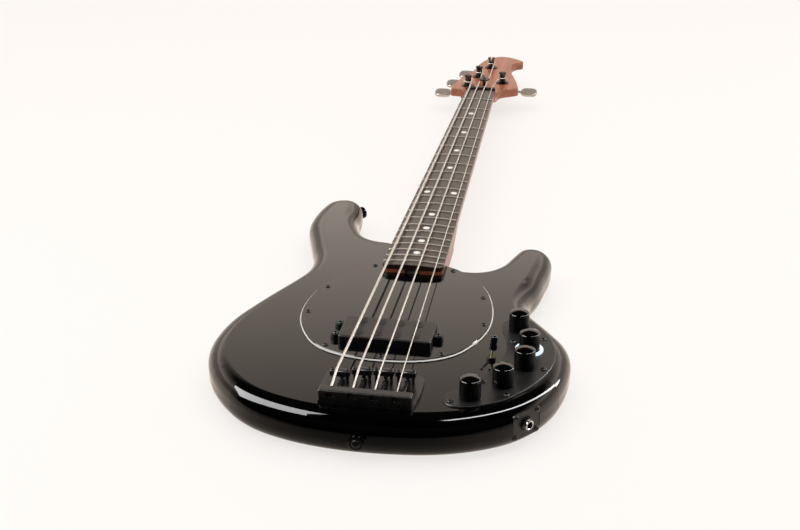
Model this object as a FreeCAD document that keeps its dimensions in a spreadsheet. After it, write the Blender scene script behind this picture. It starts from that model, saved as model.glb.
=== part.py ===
import FreeCAD, Part
import math
import os

# Four-string electric bass guitar, lying on its back.
# The origin is on the back of the body, where the centre line crosses the nominal saddle line.
# X points to the treble side, Y along the strings to the head, Z up out of the top. Millimetres.

Vec = FreeCAD.Vector
UP = Vec(0, 0, 1)
doc = FreeCAD.newDocument("bass_guitar")

# Driving dimensions. A name that ends in _x or _y is a place, the rest are sizes.
SIZES = {
    # Body blank
    "body_thick": 41.3,
    "edge_round": 16.5,
    "fit_gap": 0.2,
    "screw_gap": 0.02,
    "running_gap": 0.06,
    # Neck, fingerboard and frets
    "scale_length": 863.6,
    "nut_width": 42.4,
    "heel_width": 66.0,
    "heel_end_y": 231.5,
    "heel_corner": 8.0,
    "heel_depth": 20.0,
    "heel_reach_y": 334.0,
    "heel_blend": 42.0,
    "shaft_depth_heel": 18.5,
    "shaft_depth_nut": 15.6,
    "neck_bulge": 0.19,
    "board_rise": 12.3,
    "board_thick": 6.0,
    "board_radius": 280.0,
    "fret_count": 22,
    "fret_width": 2.5,
    "fret_height": 1.2,
    "fret_inset": 0.5,
    "dot_size": 7.4,
    "dot_depth": 2.0,
    "dot_spread": 32.4,
    "nut_length": 5.0,
    "nut_rise": 1.5,
    "nut_lip": 0.9,
    # Headstock
    "face_drop": 11.0,
    "head_thick": 12.4,
    "face_run": 24.0,
    "head_edge": 1.2,
    "head_flare": 48.0,
    # Truss rod
    "rod_width": 6.0,
    "rod_stop": 18.0,
    "wheel_size": 12.4,
    "wheel_thick": 5.0,
    "wheel_notch": 16.0,
    "wheel_holes": 6,
    "wheel_hole_size": 2.4,
    # Strings
    "gauge_e": 2.54,
    "gauge_a": 2.03,
    "gauge_d": 1.65,
    "gauge_g": 1.14,
    "spread_saddle": 58.8,
    "spread_nut": 32.6,
    "string_rise": 16.3,
    "crest_bend": 6.0,
    "nut_bend": 12.0,
    "winding_gap": 0.55,
    "winding_quarters": 6,
    "winding_rise": 9.4,
    # Tuning machines
    "post_x_e": -24.8,
    "post_x_a": -13.6,
    "post_x_d": -0.4,
    "post_x_g": 25.2,
    "post_out_e": 50.4,
    "post_out_a": 99.9,
    "post_out_d": 151.6,
    "post_out_g": 73.1,
    "post_height": 16.4,
    "post_shaft": 9.4,
    "post_waist": 8.4,
    "post_cap": 10.8,
    "post_cap_height": 2.4,
    "post_collar": 12.0,
    "post_slot": 2.8,
    "post_slot_depth": 5.0,
    "washer_size": 19.0,
    "washer_thick": 1.6,
    "sleeve_size": 13.0,
    "machine_plate": 1.6,
    "machine_width": 25.0,
    "machine_length": 38.0,
    "machine_hold": 12.5,
    "machine_screw_x": 9.4,
    "machine_screw_inset": 2.4,
    "machine_screw_length": 8.0,
    "wheel_gear_size": 20.8,
    "wheel_gear_thick": 3.0,
    "wheel_gear_teeth": 20,
    "wheel_gear_notch": 1.3,
    "gear_drop": 2.3,
    "worm_size": 6.8,
    "worm_length": 11.0,
    "worm_grooves": 5,
    "worm_groove_depth": 0.9,
    "worm_offset": 14.3,
    "key_shaft": 4.0,
    "key_reach": 52.5,
    "paddle_length": 25.0,
    "paddle_width": 20.0,
    "paddle_thick": 5.6,
    "paddle_corner": 8.0,
    "paddle_round": 2.35,
    "key_tilt": 13.0,
    "ear_thick": 3.0,
    "ear_width": 9.0,
    # String tree
    "tree_x": -0.9,
    "tree_out": 54.7,
    "tree_size": 17.0,
    "tree_cap": 2.4,
    "tree_dish": 1.0,
    "tree_stem": 5.0,
    "tree_rise": 8.7,
    # Bridge
    "bridge_width": 84.0,
    "bridge_flare": 92.0,
    "bridge_shift": 2.4,
    "bridge_corner": 9.2,
    "bridge_screw_inset": 3.9,
    "bridge_shoulder": 33.6,
    "bridge_front_y": 15.0,
    "bridge_plate": 3.0,
    "wall_y": -33.0,
    "wall_thick": 10.5,
    "wall_height": 13.2,
    "wall_round": 1.6,
    "ball_rise": 9.6,
    "ball_size": 4.4,
    "ball_length": 3.6,
    "ball_seat": 6.0,
    "ball_seat_depth": 6.0,
    "string_hole": 3.6,
    "saddle_back_e": 8.2,
    "saddle_back_a": 4.7,
    "saddle_back_d": 3.1,
    "saddle_back_g": 0.3,
    "saddle_width": 18.8,
    "saddle_length": 8.0,
    "saddle_floor": 0.8,
    "saddle_round": 1.8,
    "saddle_shift": 2.8,
    "groove_gap": 0.2,
    "set_screw": 3.0,
    "set_screw_spread": 13.6,
    "set_screw_proud": 0.9,
    "length_screw": 2.9,
    "length_screw_shift": 4.8,
    "length_screw_rise": 5.7,
    "length_screw_tip": 5.5,
    "length_screw_head": 5.2,
    "length_screw_head_thick": 2.2,
    "spring_size": 5.0,
    "spring_wire": 0.6,
    "spring_turns": 5,
    # Pickup
    "pickup_y": 87.0,
    "pickup_width": 90.0,
    "pickup_length": 43.6,
    "pickup_rise": 10.6,
    "pickup_skirt": 8.0,
    "pickup_wall": 1.6,
    "pickup_corner": 3.0,
    "pickup_gap": 0.5,
    "pickup_cavity": 20.0,
    "ear_size": 9.6,
    "ear_reach": 49.0,
    "ear_spread": 22.0,
    "ear_step": 2.8,
    "pole_size": 9.5,
    "pole_spread": 55.2,
    "pole_rows": 24.0,
    "pole_shift": 0.9,
    "pole_proud": 0.25,
    "pole_length": 15.0,
    "coil_width": 84.0,
    "coil_length": 15.6,
    "coil_height": 11.0,
    "lift_screw": 3.0,
    "lift_screw_head": 6.2,
    "lift_screw_length": 34.0,
    "lift_spring_size": 5.4,
    "lift_spring_turns": 3,
    # Pickguard
    "guard_base": 0.6,
    "guard_core": 1.0,
    "guard_skin": 0.7,
    "guard_bevel": 1.7,
    "guard_top_y": 258.0,
    "guard_end_x": 34.6,
    # Controls
    "control_plate": 1.5,
    "cavity_depth": 33.0,
    "cavity_width": 26.0,
    "channel_width": 18.0,
    "knob_size": 19.6,
    "knob_height": 19.9,
    "knob_taper": 0.1,
    "knob_dome": 2.6,
    "knob_corner": 1.6,
    "knob_lift": 1.2,
    "knob_recess": 12.4,
    "pot_size": 16.4,
    "pot_height": 9.0,
    "pot_bush": 7.0,
    "pot_nut": 10.0,
    "pot_nut_height": 2.2,
    "pot_shaft": 6.0,
    "shaft_depth": 7.0,
    "ring_size": 26.6,
    "ring_height": 2.0,
    "toggle_x": 102.6,
    "toggle_y": 62.1,
    "toggle_tilt": 7.0,
    "toggle_can": 14.0,
    "toggle_can_height": 16.0,
    "toggle_nut": 8.6,
    "toggle_bush": 7.0,
    "toggle_skin": 4.0,
    "toggle_nut_height": 3.0,
    "toggle_ball": 5.0,
    "lever_size": 3.2,
    "lever_length": 25.3,
    "lever_tip_size": 7.6,
    "lever_tip_length": 14.6,
    "lever_tip_round": 2.5,
    # Output jack
    "jack_width": 32.0,
    "jack_height": 26.0,
    "jack_plate": 1.6,
    "jack_corner": 3.0,
    "jack_bore": 6.4,
    "jack_barrel": 9.4,
    "jack_length": 24.0,
    "jack_nut": 14.0,
    "jack_nut_thick": 2.4,
    "jack_sink": 3.0,
    "jack_proud": 4.6,
    "jack_lift": 1.4,
    # Strap buttons
    "button_head": 14.4,
    "button_neck": 7.6,
    "button_height": 9.0,
    "button_head_thick": 3.0,
    "button_foot": 11.6,
    "button_sink": 1.0,
    "strap_screw": 4.2,
    "strap_screw_head": 8.0,
    "strap_screw_length": 34.0,
    # Back of the body
    "neck_plate_x": -6.0,
    "neck_plate_y": 251.0,
    "neck_plate_width": 50.0,
    "neck_plate_length": 32.0,
    "neck_plate_thick": 2.0,
    "neck_bolt": 5.0,
    "neck_bolt_head": 9.0,
    "neck_bolt_length": 38.0,
    "battery_x": -72.0,
    "battery_y": 16.0,
    "battery_width": 48.5,
    "battery_length": 26.5,
    "battery_thick": 17.5,
    "box_wall": 2.0,
    "box_flange": 5.0,
    "lid_thick": 2.0,
    "lid_gap": 0.4,
    "lid_pin": 1.4,
    "board_size_x": 16.0,
    "board_size_y": 36.0,
    "circuit_thick": 1.6,
    "chip_height": 4.0,
    # Small screws
    "cover_screw": 2.8,
    "cover_screw_head": 5.6,
    "cover_screw_dome": 1.3,
    "cover_screw_length": 12.0,
}

sheet = doc.addObject("Spreadsheet::Sheet", "Sizes")
for row, (alias, value) in enumerate(SIZES.items(), start=1):
    sheet.set(f"A{row}", alias)
    sheet.set(f"B{row}", str(value))
    sheet.setAlias(f"B{row}", alias)
doc.recompute()


class SheetSizes:
    """Reads a driving dimension from the sheet by its alias."""

    def __getattr__(self, alias):
        return float(sheet.get(alias))


S = SheetSizes()

# Heights and places that several pieces share
body_top = S.body_thick
guard_top = body_top + S.guard_base + S.guard_core + S.guard_skin
control_top = body_top + S.control_plate
board_top = body_top + S.board_rise
glue_plane = board_top - S.board_thick
heel_floor = glue_plane - S.heel_depth
head_face = board_top - S.face_drop
head_back = head_face - S.head_thick
nut_y = S.scale_length
nut_back_y = nut_y + S.nut_length
saddle_deck = body_top + S.bridge_plate
wall_rear_y = S.wall_y - S.wall_thick
mid_height = body_top / 2
pocket_top = board_top + S.board_rise
shaft_start_y = S.heel_reach_y + S.heel_blend
jack_face = S.jack_plate - S.jack_sink

# Outlines are chains of key points, each with the heading of the edge there in degrees.
# A corner has two headings, one arriving and one leaving.
JACK_KEY = (144.0, -16.15, 48.7)
TAIL_KEY = (0.0, -64.2, 0.0)
HORN_KEY = (-99.6, 438.6, 143.0)
BODY_KEYS = [
    TAIL_KEY,
    (100.0, -46.6, 23.5),
    JACK_KEY,
    (176.6, 82.0, 90.0),
    (141.0, 158.5, 126.0),
    (126.5, 198.0, 90.0),
    (137.4, 257.0, 82.0),
    (143.2, 309.0, 90.0),
    (120.5, 334.8, 180.0),
    (91.5, 293.0, 252.0),
    (58.0, 262.8, 180.0),
    (4.0, 294.0, 142.0),
    (-46.0, 326.4, 176.0),
    (-86.5, 376.0, 106.0),
    (-91.2, 424.0, 97.0),
    HORN_KEY,
    (-112.5, 442.9, 180.0),
    (-144.2, 380.0, 270.0),
    (-130.4, 320.0, 287.0),
    (-115.8, 252.0, 270.0),
    (-135.0, 189.0, 246.0),
    (-170.0, 68.0, 270.0),
    (-151.5, 6.5, 302.0),
    (-93.0, -47.0, 337.0),
]
GUARD_KEYS = [
    (0.0, 39.8, 0.0),
    (58.0, 53.8, 32.0),
    (87.0, 93.5, 67.0),
    (95.7, 138.0, 90.0),
    (87.0, 194.5, 107.0),
    (50.0, 249.0, 139.0),
]
GUARD_END_HEADING = 152.0
CONTROL_KEYS = [
    (68.0, -16.0, 270.0),
    (80.0, -31.2, 0.0),
    (115.0, -18.2, 34.0),
    (141.0, 11.0, 57.0),
    (161.9, 74.0, 90.0),
    (148.0, 123.0, 121.0),
    (124.0, 147.5, 180.0),
    (106.2, 132.0, 272.0),
    (113.2, 98.0, 278.0),
    (114.9, 80.0, 270.0),
    (107.6, 47.0, 249.0),
    (89.5, 13.0, 234.0),
    (71.6, -6.0, 231.0),
]
# The headstock's outline, measured along Y from the front of the nut.
HEAD_KEYS = [
    (36.0, 39.2, 27.0),
    (51.4, 50.0, 40.0, 98.0),
    (44.3, 88.2, 103.0),
    (31.4, 150.4, 92.0),
    (35.7, 182.2, 58.0),
    (48.0, 193.4, 40.0, 128.0),
    (29.5, 210.8, 149.0),
    (13.0, 217.0, 180.0),
    (-11.3, 198.5, 244.0),
    (-19.8, 172.6, 259.0),
    (-27.5, 126.0, 256.0),
    (-39.5, 90.4, 254.0),
    (-49.0, 33.4, 266.0, 352.0),
    (-30.0, 30.0, 346.0),
]
# Screw places on the top
GUARD_SCREWS = [(42.4, 245.4), (81.0, 186.0), (88.2, 127.0), (56.0, 60.2)]
GUARD_TAIL_SCREW = (0.0, 47.4)
CONTROL_SCREWS = [
    (75.4, -23.0), (123.5, -4.0), (152.6, 48.6),
    (148.2, 107.7), (119.6, 97.5), (99.8, 16.2),
]
BRIDGE_SCREWS = [-34.4, -14.8, 4.8, 24.4]
KNOBS = {
    "knob_volume": (91.9, -12.8),
    "knob_treble": (118.4, 14.0),
    "knob_middle": (134.9, 49.4),
    "knob_bass": (136.4, 83.5),
    "knob_blend": (123.0, 124.2),
}
LIT_KNOB = "knob_bass"
NECK_BOLTS = [(-0.38, -0.3), (0.38, -0.3), (-0.38, 0.3), (0.38, 0.3), (0.0, 0.0)]
DOT_FRETS = [3, 5, 7, 9, 15, 17, 19, 21]
OCTAVE_FRET = 12
STRINGS = {"e": -1.5, "a": -0.5, "d": 0.5, "g": 1.5}
KEY_SIDE = {"e": -1, "a": -1, "d": -1, "g": 1}
TREE_STRINGS = ("a", "d")
# Headings of the slots in the tuning posts, in degrees
POST_SLOTS = {"e": 40.0, "a": 65.0, "d": 90.0, "g": 15.0}


def unit(degrees):
    """Direction in the XY plane at an angle from +X."""
    angle = math.radians(degrees)
    return Vec(math.cos(angle), math.sin(angle), 0)


def arc_under(start, corner, end):
    """Arc from start to end that is tangent to the two lines that meet at corner."""
    middle = (start + end) * 0.5
    rise = corner - middle
    half = (end - start).Length / 2
    if rise.Length < half * 1e-5:
        return Part.LineSegment(start, end)
    sag = half * math.tan(math.atan2(rise.Length, half) / 2)
    return Part.Arc(start, middle + rise * (sag / rise.Length), end)


def biarc(start, start_way, end, end_way):
    """Two arcs that leave start along start_way and reach end along end_way."""
    chord = end - start
    ways = start_way + end_way
    square = 4 - ways.dot(ways)
    linear = 2 * chord.dot(ways)
    constant = -chord.dot(chord)
    if square < 1e-9:
        reach = -constant / linear
    else:
        reach = (math.sqrt(linear * linear - 4 * square * constant) - linear) / (2 * square)
    first = start + start_way * reach
    second = end - end_way * reach
    joint = (first + second) * 0.5
    return [arc_under(start, first, joint), arc_under(joint, second, end)]


def chain(keys, closed=True):
    """Edges of an outline through key points of (x, y, heading) or (x, y, arriving, leaving)."""
    edges = []
    ends = keys[1:] + keys[:1] if closed else keys[1:]
    for here, there in zip(keys, ends):
        edges += biarc(Vec(*here[:2]), unit(here[-1]), Vec(*there[:2]), unit(there[2]))
    return edges


def polygon(points):
    """Edges of a closed polygon."""
    corners = [Vec(*point) for point in points]
    return [Part.LineSegment(a, b) for a, b in zip(corners, corners[1:] + corners[:1])]


def round_rectangle(x, y, width, length, corner):
    """Edges of a rectangle with round corners, centred on x, y."""
    corners = []
    for turn, (right, up) in enumerate([(1, -1), (1, 1), (-1, 1), (-1, -1)]):
        point = Vec(x + right * width / 2, y + up * length / 2)
        corners.append((point - unit(90 * turn) * corner, point, point + unit(90 * (turn + 1)) * corner))
    edges = []
    for here, there in zip(corners, corners[1:] + corners[:1]):
        edges.append(arc_under(*here))
        edges.append(Part.LineSegment(here[2], there[0]))
    return edges


def prism(edges, floor, ceiling):
    """Solid between two heights over a closed outline."""
    wire = Part.Wire(Part.sortEdges([edge.toShape() for edge in edges])[0])
    face = Part.Face(wire)
    face.translate(Vec(0, 0, floor))
    return face.extrude(Vec(0, 0, ceiling - floor))


def rod(start, end, diameter):
    """Round bar between two points."""
    return Part.makeCylinder(diameter / 2, (end - start).Length, start, end - start)


def block(x, y, floor, width, length, height):
    """Box centred on x, y that stands on floor."""
    return Part.makeBox(width, length, height, Vec(x - width / 2, y - length / 2, floor))


def profile(points):
    """Edges of a closed half-section of (radius, height) points."""
    return polygon([(radius, 0, height) for radius, height in points])


def turned(edges):
    """Solid of revolution about Z of a half-section in the XZ plane."""
    wire = Part.Wire([edge.toShape() for edge in edges])
    return Part.Face(wire).revolve(Vec(0, 0, 0), UP, 360)


def route(points, bends):
    """Edges of straight runs with a tangent arc at each inner point."""
    edges = []
    last = points[0]
    for before, here, after, bend in zip(points, points[1:], points[2:], bends):
        inward = (here - before).normalize()
        outward = (after - here).normalize()
        setback = bend * math.tan(inward.getAngle(outward) / 2)
        arc_start = here - inward * setback
        arc_end = here + outward * setback
        edges.append(Part.LineSegment(last, arc_start))
        edges.append(arc_under(arc_start, here, arc_end))
        last = arc_end
    edges.append(Part.LineSegment(last, points[-1]))
    return edges


def tube(edges, diameter):
    """Round tube along a path of tangent edges."""
    path = Part.Wire([edge.toShape() for edge in edges])
    first = edges[0]
    start = first.value(first.FirstParameter)
    way = first.tangent(first.FirstParameter)[0]
    ring = Part.Wire(Part.makeCircle(diameter / 2, start, way))
    return path.makePipeShell([ring], True, False)


def helix(centre, axis, side, radius, pitch, quarters, start_way=None):
    """Quarter-turn biarcs of a helix that starts at centre + side * radius and turns to axis x side."""
    across = axis.cross(side)
    climb = pitch / (2 * math.pi * radius)

    def place(quarter):
        angle = math.pi / 2 * quarter
        spoke = side * math.cos(angle) + across * math.sin(angle)
        return centre + spoke * radius + axis * (pitch * quarter / 4)

    def heading(quarter):
        angle = math.pi / 2 * quarter
        along = across * math.cos(angle) - side * math.sin(angle)
        return (along + axis * climb).normalize()

    edges = []
    for quarter in range(quarters):
        way = start_way if quarter == 0 and start_way else heading(quarter)
        edges += biarc(place(quarter), way, place(quarter + 1), heading(quarter + 1))
    return edges, heading(quarters)


def least_gap(edges, diameter, lap):
    """Least clear distance between parts of a tube that are at least one lap apart along it."""
    points = Part.Wire([edge.toShape() for edge in edges]).discretize(Distance=diameter / 2)
    skip = int(lap / (diameter / 2))
    spans = [a.distanceToPoint(b) for i, a in enumerate(points) for b in points[i + skip:]]
    return min(spans) - diameter if spans else math.inf


def slab(floor, ceiling):
    """Flat layer that is larger than the object, to cut layers from."""
    reach = 3 * S.scale_length
    return block(0, 0, floor, reach, reach, ceiling - floor)


def screw(seat, way, shank, length, head, dome):
    """Domed screw whose head sits on seat and whose shank runs along way."""
    radius = head / 2
    rim_share = 0.35
    rim = Vec(radius, 0, dome * rim_share)
    flat = Vec(radius / 5, 0, dome)
    halfway = math.sqrt(0.5)
    swell = Vec(radius * halfway, 0, dome * (rim_share + (1 - rim_share) * halfway))
    points = [flat, Vec(0, 0, dome), Vec(0, 0, -length), Vec(shank / 2, 0, -length), Vec(shank / 2, 0, 0)]
    points += [Vec(radius, 0, 0), rim]
    edges = [Part.Arc(rim, swell, flat)]
    edges += [Part.LineSegment(a, b) for a, b in zip(points, points[1:])]
    solid = turned(edges)
    solid.Placement = FreeCAD.Placement(seat, FreeCAD.Rotation(UP, way * -1))
    return solid


def fret_y(number):
    """Place of a fret along Y."""
    return nut_y - S.scale_length * (1 - 2 ** (-number / 12))


def neck_half(y):
    """Half the width of the neck at y."""
    share = (nut_y - y) / (nut_y - S.heel_end_y)
    return (S.nut_width + (S.heel_width - S.nut_width) * share) / 2


def crown_drop(x):
    """How far the round top of the fingerboard lies below its crown at x."""
    return S.board_radius - math.sqrt(S.board_radius ** 2 - x * x)


NODES = []


def add_node(label, shape):
    """Keep a finished shape as a sub-part of its own."""
    node = doc.addObject("Part::Feature", label)
    node.Label = label
    node.Shape = shape.Solids[0] if len(shape.Solids) == 1 else Part.makeCompound(shape.Solids)
    NODES.append(node)
    return node


def add_body(label):
    """Start a sub-part that is made of sketches and features."""
    body = doc.addObject("PartDesign::Body", label)
    body.Label = label
    return body


def add_sketch(body, role, edges, lift=None):
    """Sketch on one of the body's own origin planes, lifted by an expression."""
    sketch = body.newObject("Sketcher::SketchObject", body.Name + "_sketch")
    plane = next(item for item in body.Origin.OriginFeatures if item.Role == role)
    sketch.AttachmentSupport = (plane, [""])
    sketch.MapMode = "FlatFace"
    if lift:
        sketch.setExpression("AttachmentOffset.Base.z", lift)
    for edge in edges:
        sketch.addGeometry(edge, False)
    return sketch


def add_pad(body, sketch, length):
    """Pad a sketch by an expression."""
    pad = body.newObject("PartDesign::Pad", body.Name + "_pad")
    pad.Profile = sketch
    pad.setExpression("Length", length)
    doc.recompute()
    return pad


def add_pocket(body, sketch, length, upward=False):
    """Cut a sketch into the body by an expression, and make sure that it cuts."""
    before = body.Shape.Volume
    pocket = body.newObject("PartDesign::Pocket", body.Name + "_pocket")
    pocket.Profile = sketch
    pocket.setExpression("Length", length)
    pocket.Reversed = upward
    doc.recompute()
    if not body.Shape.Volume < before:
        raise RuntimeError(f"{pocket.Name} cuts nothing")
    return pocket


def add_edge_feature(body, kind, base, faces, size):
    """Fillet or chamfer round whole faces of a feature."""
    feature = body.newObject(f"PartDesign::{kind}", body.Name + "_edge")
    feature.Base = (base, faces)
    feature.setExpression("Radius" if kind == "Fillet" else "Size", size)
    doc.recompute()
    return feature


def face_at(feature, height):
    """Name of the flat level face of a feature at a height."""
    for index, face in enumerate(feature.Shape.Faces, start=1):
        box = face.BoundBox
        if abs(box.ZMin - height) < 1e-4 and abs(box.ZMax - height) < 1e-4:
            return f"Face{index}"
    raise RuntimeError(f"{feature.Name} has no face at {height}")


def cut_node(label, base, tools):
    """Keep a body with tools cut out of it as a sub-part."""
    cutter = doc.addObject("Part::Feature", label + "_cuts")
    cutter.Shape = tools[0].multiFuse(tools[1:]) if len(tools) > 1 else tools[0]
    node = doc.addObject("Part::Cut", label)
    node.Label = label
    node.Base = base
    node.Tool = cutter
    node.Refine = True
    NODES.append(node)
    doc.recompute()
    return node


def neck_plan(end_y, grow):
    """Outline of the neck seen from above, from its round-cornered heel to end_y, grown by a gap."""
    near_y = S.heel_end_y - grow
    near = neck_half(near_y) + grow
    far = neck_half(end_y) + grow
    corner = S.heel_corner + grow
    lean = Vec(far - near, end_y - near_y).normalize()
    right = Vec(near, near_y)
    left = Vec(-near, near_y)
    right_side = right + lean * corner
    left_side = left + Vec(-lean.x, lean.y) * corner
    right_foot = right - Vec(corner, 0)
    left_foot = left + Vec(corner, 0)
    return [
        Part.LineSegment(left_foot, right_foot),
        arc_under(right_foot, right, right_side),
        Part.LineSegment(right_side, Vec(far, end_y)),
        Part.LineSegment(Vec(far, end_y), Vec(-far, end_y)),
        Part.LineSegment(Vec(-far, end_y), left_side),
        arc_under(left_side, left, left_foot),
    ]


def neck_section(y, half, depth, side, flat):
    """Cross-section of the neck: flat top, short sides, round shoulders and a narrow flat back."""
    bulge = S.neck_bulge
    edge = Vec(half, y, glue_plane)
    hip = Vec(half, y, glue_plane - side)
    back = Vec(flat, y, glue_plane - depth)
    chord = back - hip
    swell = (hip + back) * 0.5 + Vec(-chord.z, 0, chord.x) * bulge
    flip = [Vec(-p.x, p.y, p.z) for p in (edge, hip, swell, back)]
    edges = [
        Part.LineSegment(flip[0], edge),
        Part.LineSegment(edge, hip),
        Part.Arc(hip, swell, back),
        Part.LineSegment(back, flip[3]),
        Part.Arc(flip[3], flip[2], flip[1]),
        Part.LineSegment(flip[1], flip[0]),
    ]
    return Part.Wire([item.toShape() for item in edges])


def post_place(name):
    """Centre of a tuning post, at height 0."""
    return Vec(getattr(S, f"post_x_{name}"), nut_y + getattr(S, f"post_out_{name}"), 0)


def gauge_of(name):
    """Diameter of a string."""
    return getattr(S, f"gauge_{name}")


def crest_of(name):
    """Centre of a string where it crosses its saddle."""
    x = STRINGS[name] * S.spread_saddle / 3
    height = body_top + S.string_rise - crown_drop(x) + gauge_of(name) / 2
    return Vec(x, -getattr(S, f"saddle_back_{name}"), height)


def nut_slot_of(name):
    """Centre of a string where it crosses the nut."""
    x = STRINGS[name] * S.spread_nut / 3
    height = board_top - crown_drop(x) + S.nut_rise + gauge_of(name) / 2
    return Vec(x, nut_y + S.nut_length / 2, height)


def ball_of(name):
    """Centre of the ball at the end of a string."""
    depth = S.ball_seat_depth - S.ball_size / 2 - S.fit_gap
    return Vec(crest_of(name).x, wall_rear_y + depth, body_top + S.ball_rise)


def string_path(name):
    """Straight runs of a string from ball to post, and the winding on the post."""
    gauge = gauge_of(name)
    radius = S.post_waist / 2 + S.fit_gap + gauge / 2
    turn = -KEY_SIDE[name]
    post = post_place(name) + UP * (head_face + S.winding_rise)
    points = [ball_of(name), crest_of(name), nut_slot_of(name)]
    bends = [S.crest_bend, S.nut_bend]
    last = points[-1]
    if name in TREE_STRINGS:
        share = (nut_y + S.tree_out - last.y) / (post.y - last.y)
        tree_x = last.x + (post.x + turn * radius - last.x) * share
        last = Vec(tree_x, nut_y + S.tree_out, body_top + S.tree_rise)
        points.append(last)
        bends.append(S.nut_bend)
    reach = math.hypot(post.x - last.x, post.y - last.y)
    aim = math.atan2(post.y - last.y, post.x - last.x) - turn * math.asin(radius / reach)
    run = math.sqrt(reach * reach - radius * radius)
    touch = Vec(last.x + run * math.cos(aim), last.y + run * math.sin(aim), post.z)
    points.append(touch)
    side = (touch - post).normalize()
    pitch = -turn * (gauge + S.winding_gap)
    arriving = (touch - last).normalize()
    coil, way = helix(post, UP * turn, side, radius, pitch, int(S.winding_quarters), arriving)
    end = coil[-1].value(coil[-1].LastParameter)
    print(f"string_{name}: least gap in the winding {least_gap(coil, gauge, math.pi * radius):.2f} mm")
    return route(points, bends), coil + [Part.LineSegment(end, end + way * gauge)]


STRING_PATHS = {name: string_path(name) for name in STRINGS}


def make_strings():
    """Four strings, each with the ball that holds it in the bridge."""
    for name, (runs, coil) in STRING_PATHS.items():
        wire = tube(runs + coil, gauge_of(name))
        half = Vec(S.ball_length / 2, 0, 0)
        centre = ball_of(name)
        ball = rod(centre - half, centre + half, S.ball_size).cut(wire)
        add_node(f"string_{name}", Part.makeCompound([wire, ball]))


def string_grooves(gap):
    """Tubes round the strings, to cut the grooves that they lie in."""
    return [tube(runs, gauge_of(name) + 2 * gap) for name, (runs, coil) in STRING_PATHS.items()]


def wheel_height():
    """Height of the truss rod's axis."""
    return glue_plane - S.wheel_size / 2 - 2 * S.fit_gap


def bolt_place(spot, height):
    """A point on the axis of a neck bolt."""
    x = S.neck_plate_x + spot[0] * S.neck_plate_width
    y = S.neck_plate_y + spot[1] * S.neck_plate_length
    return Vec(x, y, height)


def tree_place(height):
    """A point on the axis of the string tree."""
    return Vec(S.tree_x, nut_y + S.tree_out, height)


def tree_top():
    """Height of the top of the string tree."""
    return body_top + S.tree_rise + S.gauge_a / 2 + S.fit_gap + S.tree_cap


def small_screw(seat, way, length):
    """One of the many screws of the common size: where its head sits, its way, and its sizes."""
    return (seat, way, S.cover_screw, length, S.cover_screw_head, S.cover_screw_dome)


def body_screws():
    """Screws that go into the body."""
    down = UP * -1
    places = [(side * x, y) for x, y in GUARD_SCREWS for side in (1, -1)] + [GUARD_TAIL_SCREW]
    rows = [small_screw(Vec(x, y, guard_top), down, S.cover_screw_length) for x, y in places]
    rows += [small_screw(Vec(x, y, control_top), down, S.cover_screw_length) for x, y in CONTROL_SCREWS]
    for x in BRIDGE_SCREWS:
        seat = Vec(x, S.bridge_front_y - S.bridge_screw_inset, saddle_deck)
        rows.append(small_screw(seat, down, S.cover_screw_length))
    edge = S.cover_screw_head / 2 + S.fit_gap
    for right in (1, -1):
        for up in (1, -1):
            corner = Vec(right * (S.jack_width / 2 - edge), up * (S.jack_height / 2 - edge), jack_face)
            rows.append(small_screw(JACK_FRAME.multVec(corner), JACK_WAY * -1, S.cover_screw_length))
    for place, out in BUTTONS:
        seat = place + out * (S.button_height - S.button_sink)
        sizes = (S.strap_screw, S.strap_screw_length, S.strap_screw_head, S.cover_screw_dome)
        rows.append((seat, out * -1) + sizes)
    return rows


def head_screws():
    """Screws that go into the headstock."""
    rows = [small_screw(tree_place(tree_top()), UP * -1, tree_top() - head_face + S.machine_screw_length)]
    for name in STRINGS:
        post = post_place(name) + UP * (head_back - S.machine_plate)
        low = S.machine_screw_inset - S.machine_hold
        high = S.machine_length - S.machine_hold - S.machine_screw_inset
        for along in (low, high):
            seat = post + Vec(-KEY_SIDE[name] * S.machine_screw_x, along, 0)
            rows.append(small_screw(seat, UP, S.machine_screw_length))
    return rows


def pilot(seat, way, shank, length, *head):
    """Hole for a screw."""
    return rod(seat, seat + way * (length + S.fit_gap), shank + S.screw_gap)


def wall_frame(key):
    """Frame on the side wall of the body: X along the wall, Y up and Z out of it."""
    along = unit(key[2])
    turn = FreeCAD.Rotation(along, UP, along.cross(UP), "ZXY")
    return FreeCAD.Placement(Vec(key[0], key[1], mid_height), turn)


JACK_FRAME = wall_frame(JACK_KEY)
JACK_FRAME.Base += UP * S.jack_lift
JACK_WAY = JACK_FRAME.Rotation.multVec(UP)
BUTTONS = [
    (wall_frame(key).Base, wall_frame(key).Rotation.multVec(UP))
    for key in (TAIL_KEY, HORN_KEY)
]


def placed(shape, frame):
    """A shape that was made at the origin, moved into a frame."""
    moved = shape.copy()
    moved.Placement = frame.multiply(moved.Placement)
    return moved


def pickup_outline(grow):
    """Shapes from above of the pickup cover and its three ears, as (x, y, diameter) and edges."""
    width = S.pickup_width + 2 * grow
    length = S.pickup_length + 2 * grow
    edges = round_rectangle(0, S.pickup_y, width, length, S.pickup_corner + grow)
    return edges, [(x, y, S.ear_size + 2 * grow) for x, y in ear_places()]


def ear_places():
    """Centres of the three ears of the pickup."""
    half = S.ear_spread / 2
    return [(-S.ear_reach, S.pickup_y - half), (-S.ear_reach, S.pickup_y + half), (S.ear_reach, S.pickup_y)]


def pickup_room(grow, floor, ceiling):
    """Solid in the shape of the pickup, grown by a gap, between two heights."""
    edges, ears = pickup_outline(grow)
    posts = [rod(Vec(x, y, floor), Vec(x, y, ceiling), size) for x, y, size in ears]
    return prism(edges, floor, ceiling).multiFuse(posts).removeSplitter()


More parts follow.
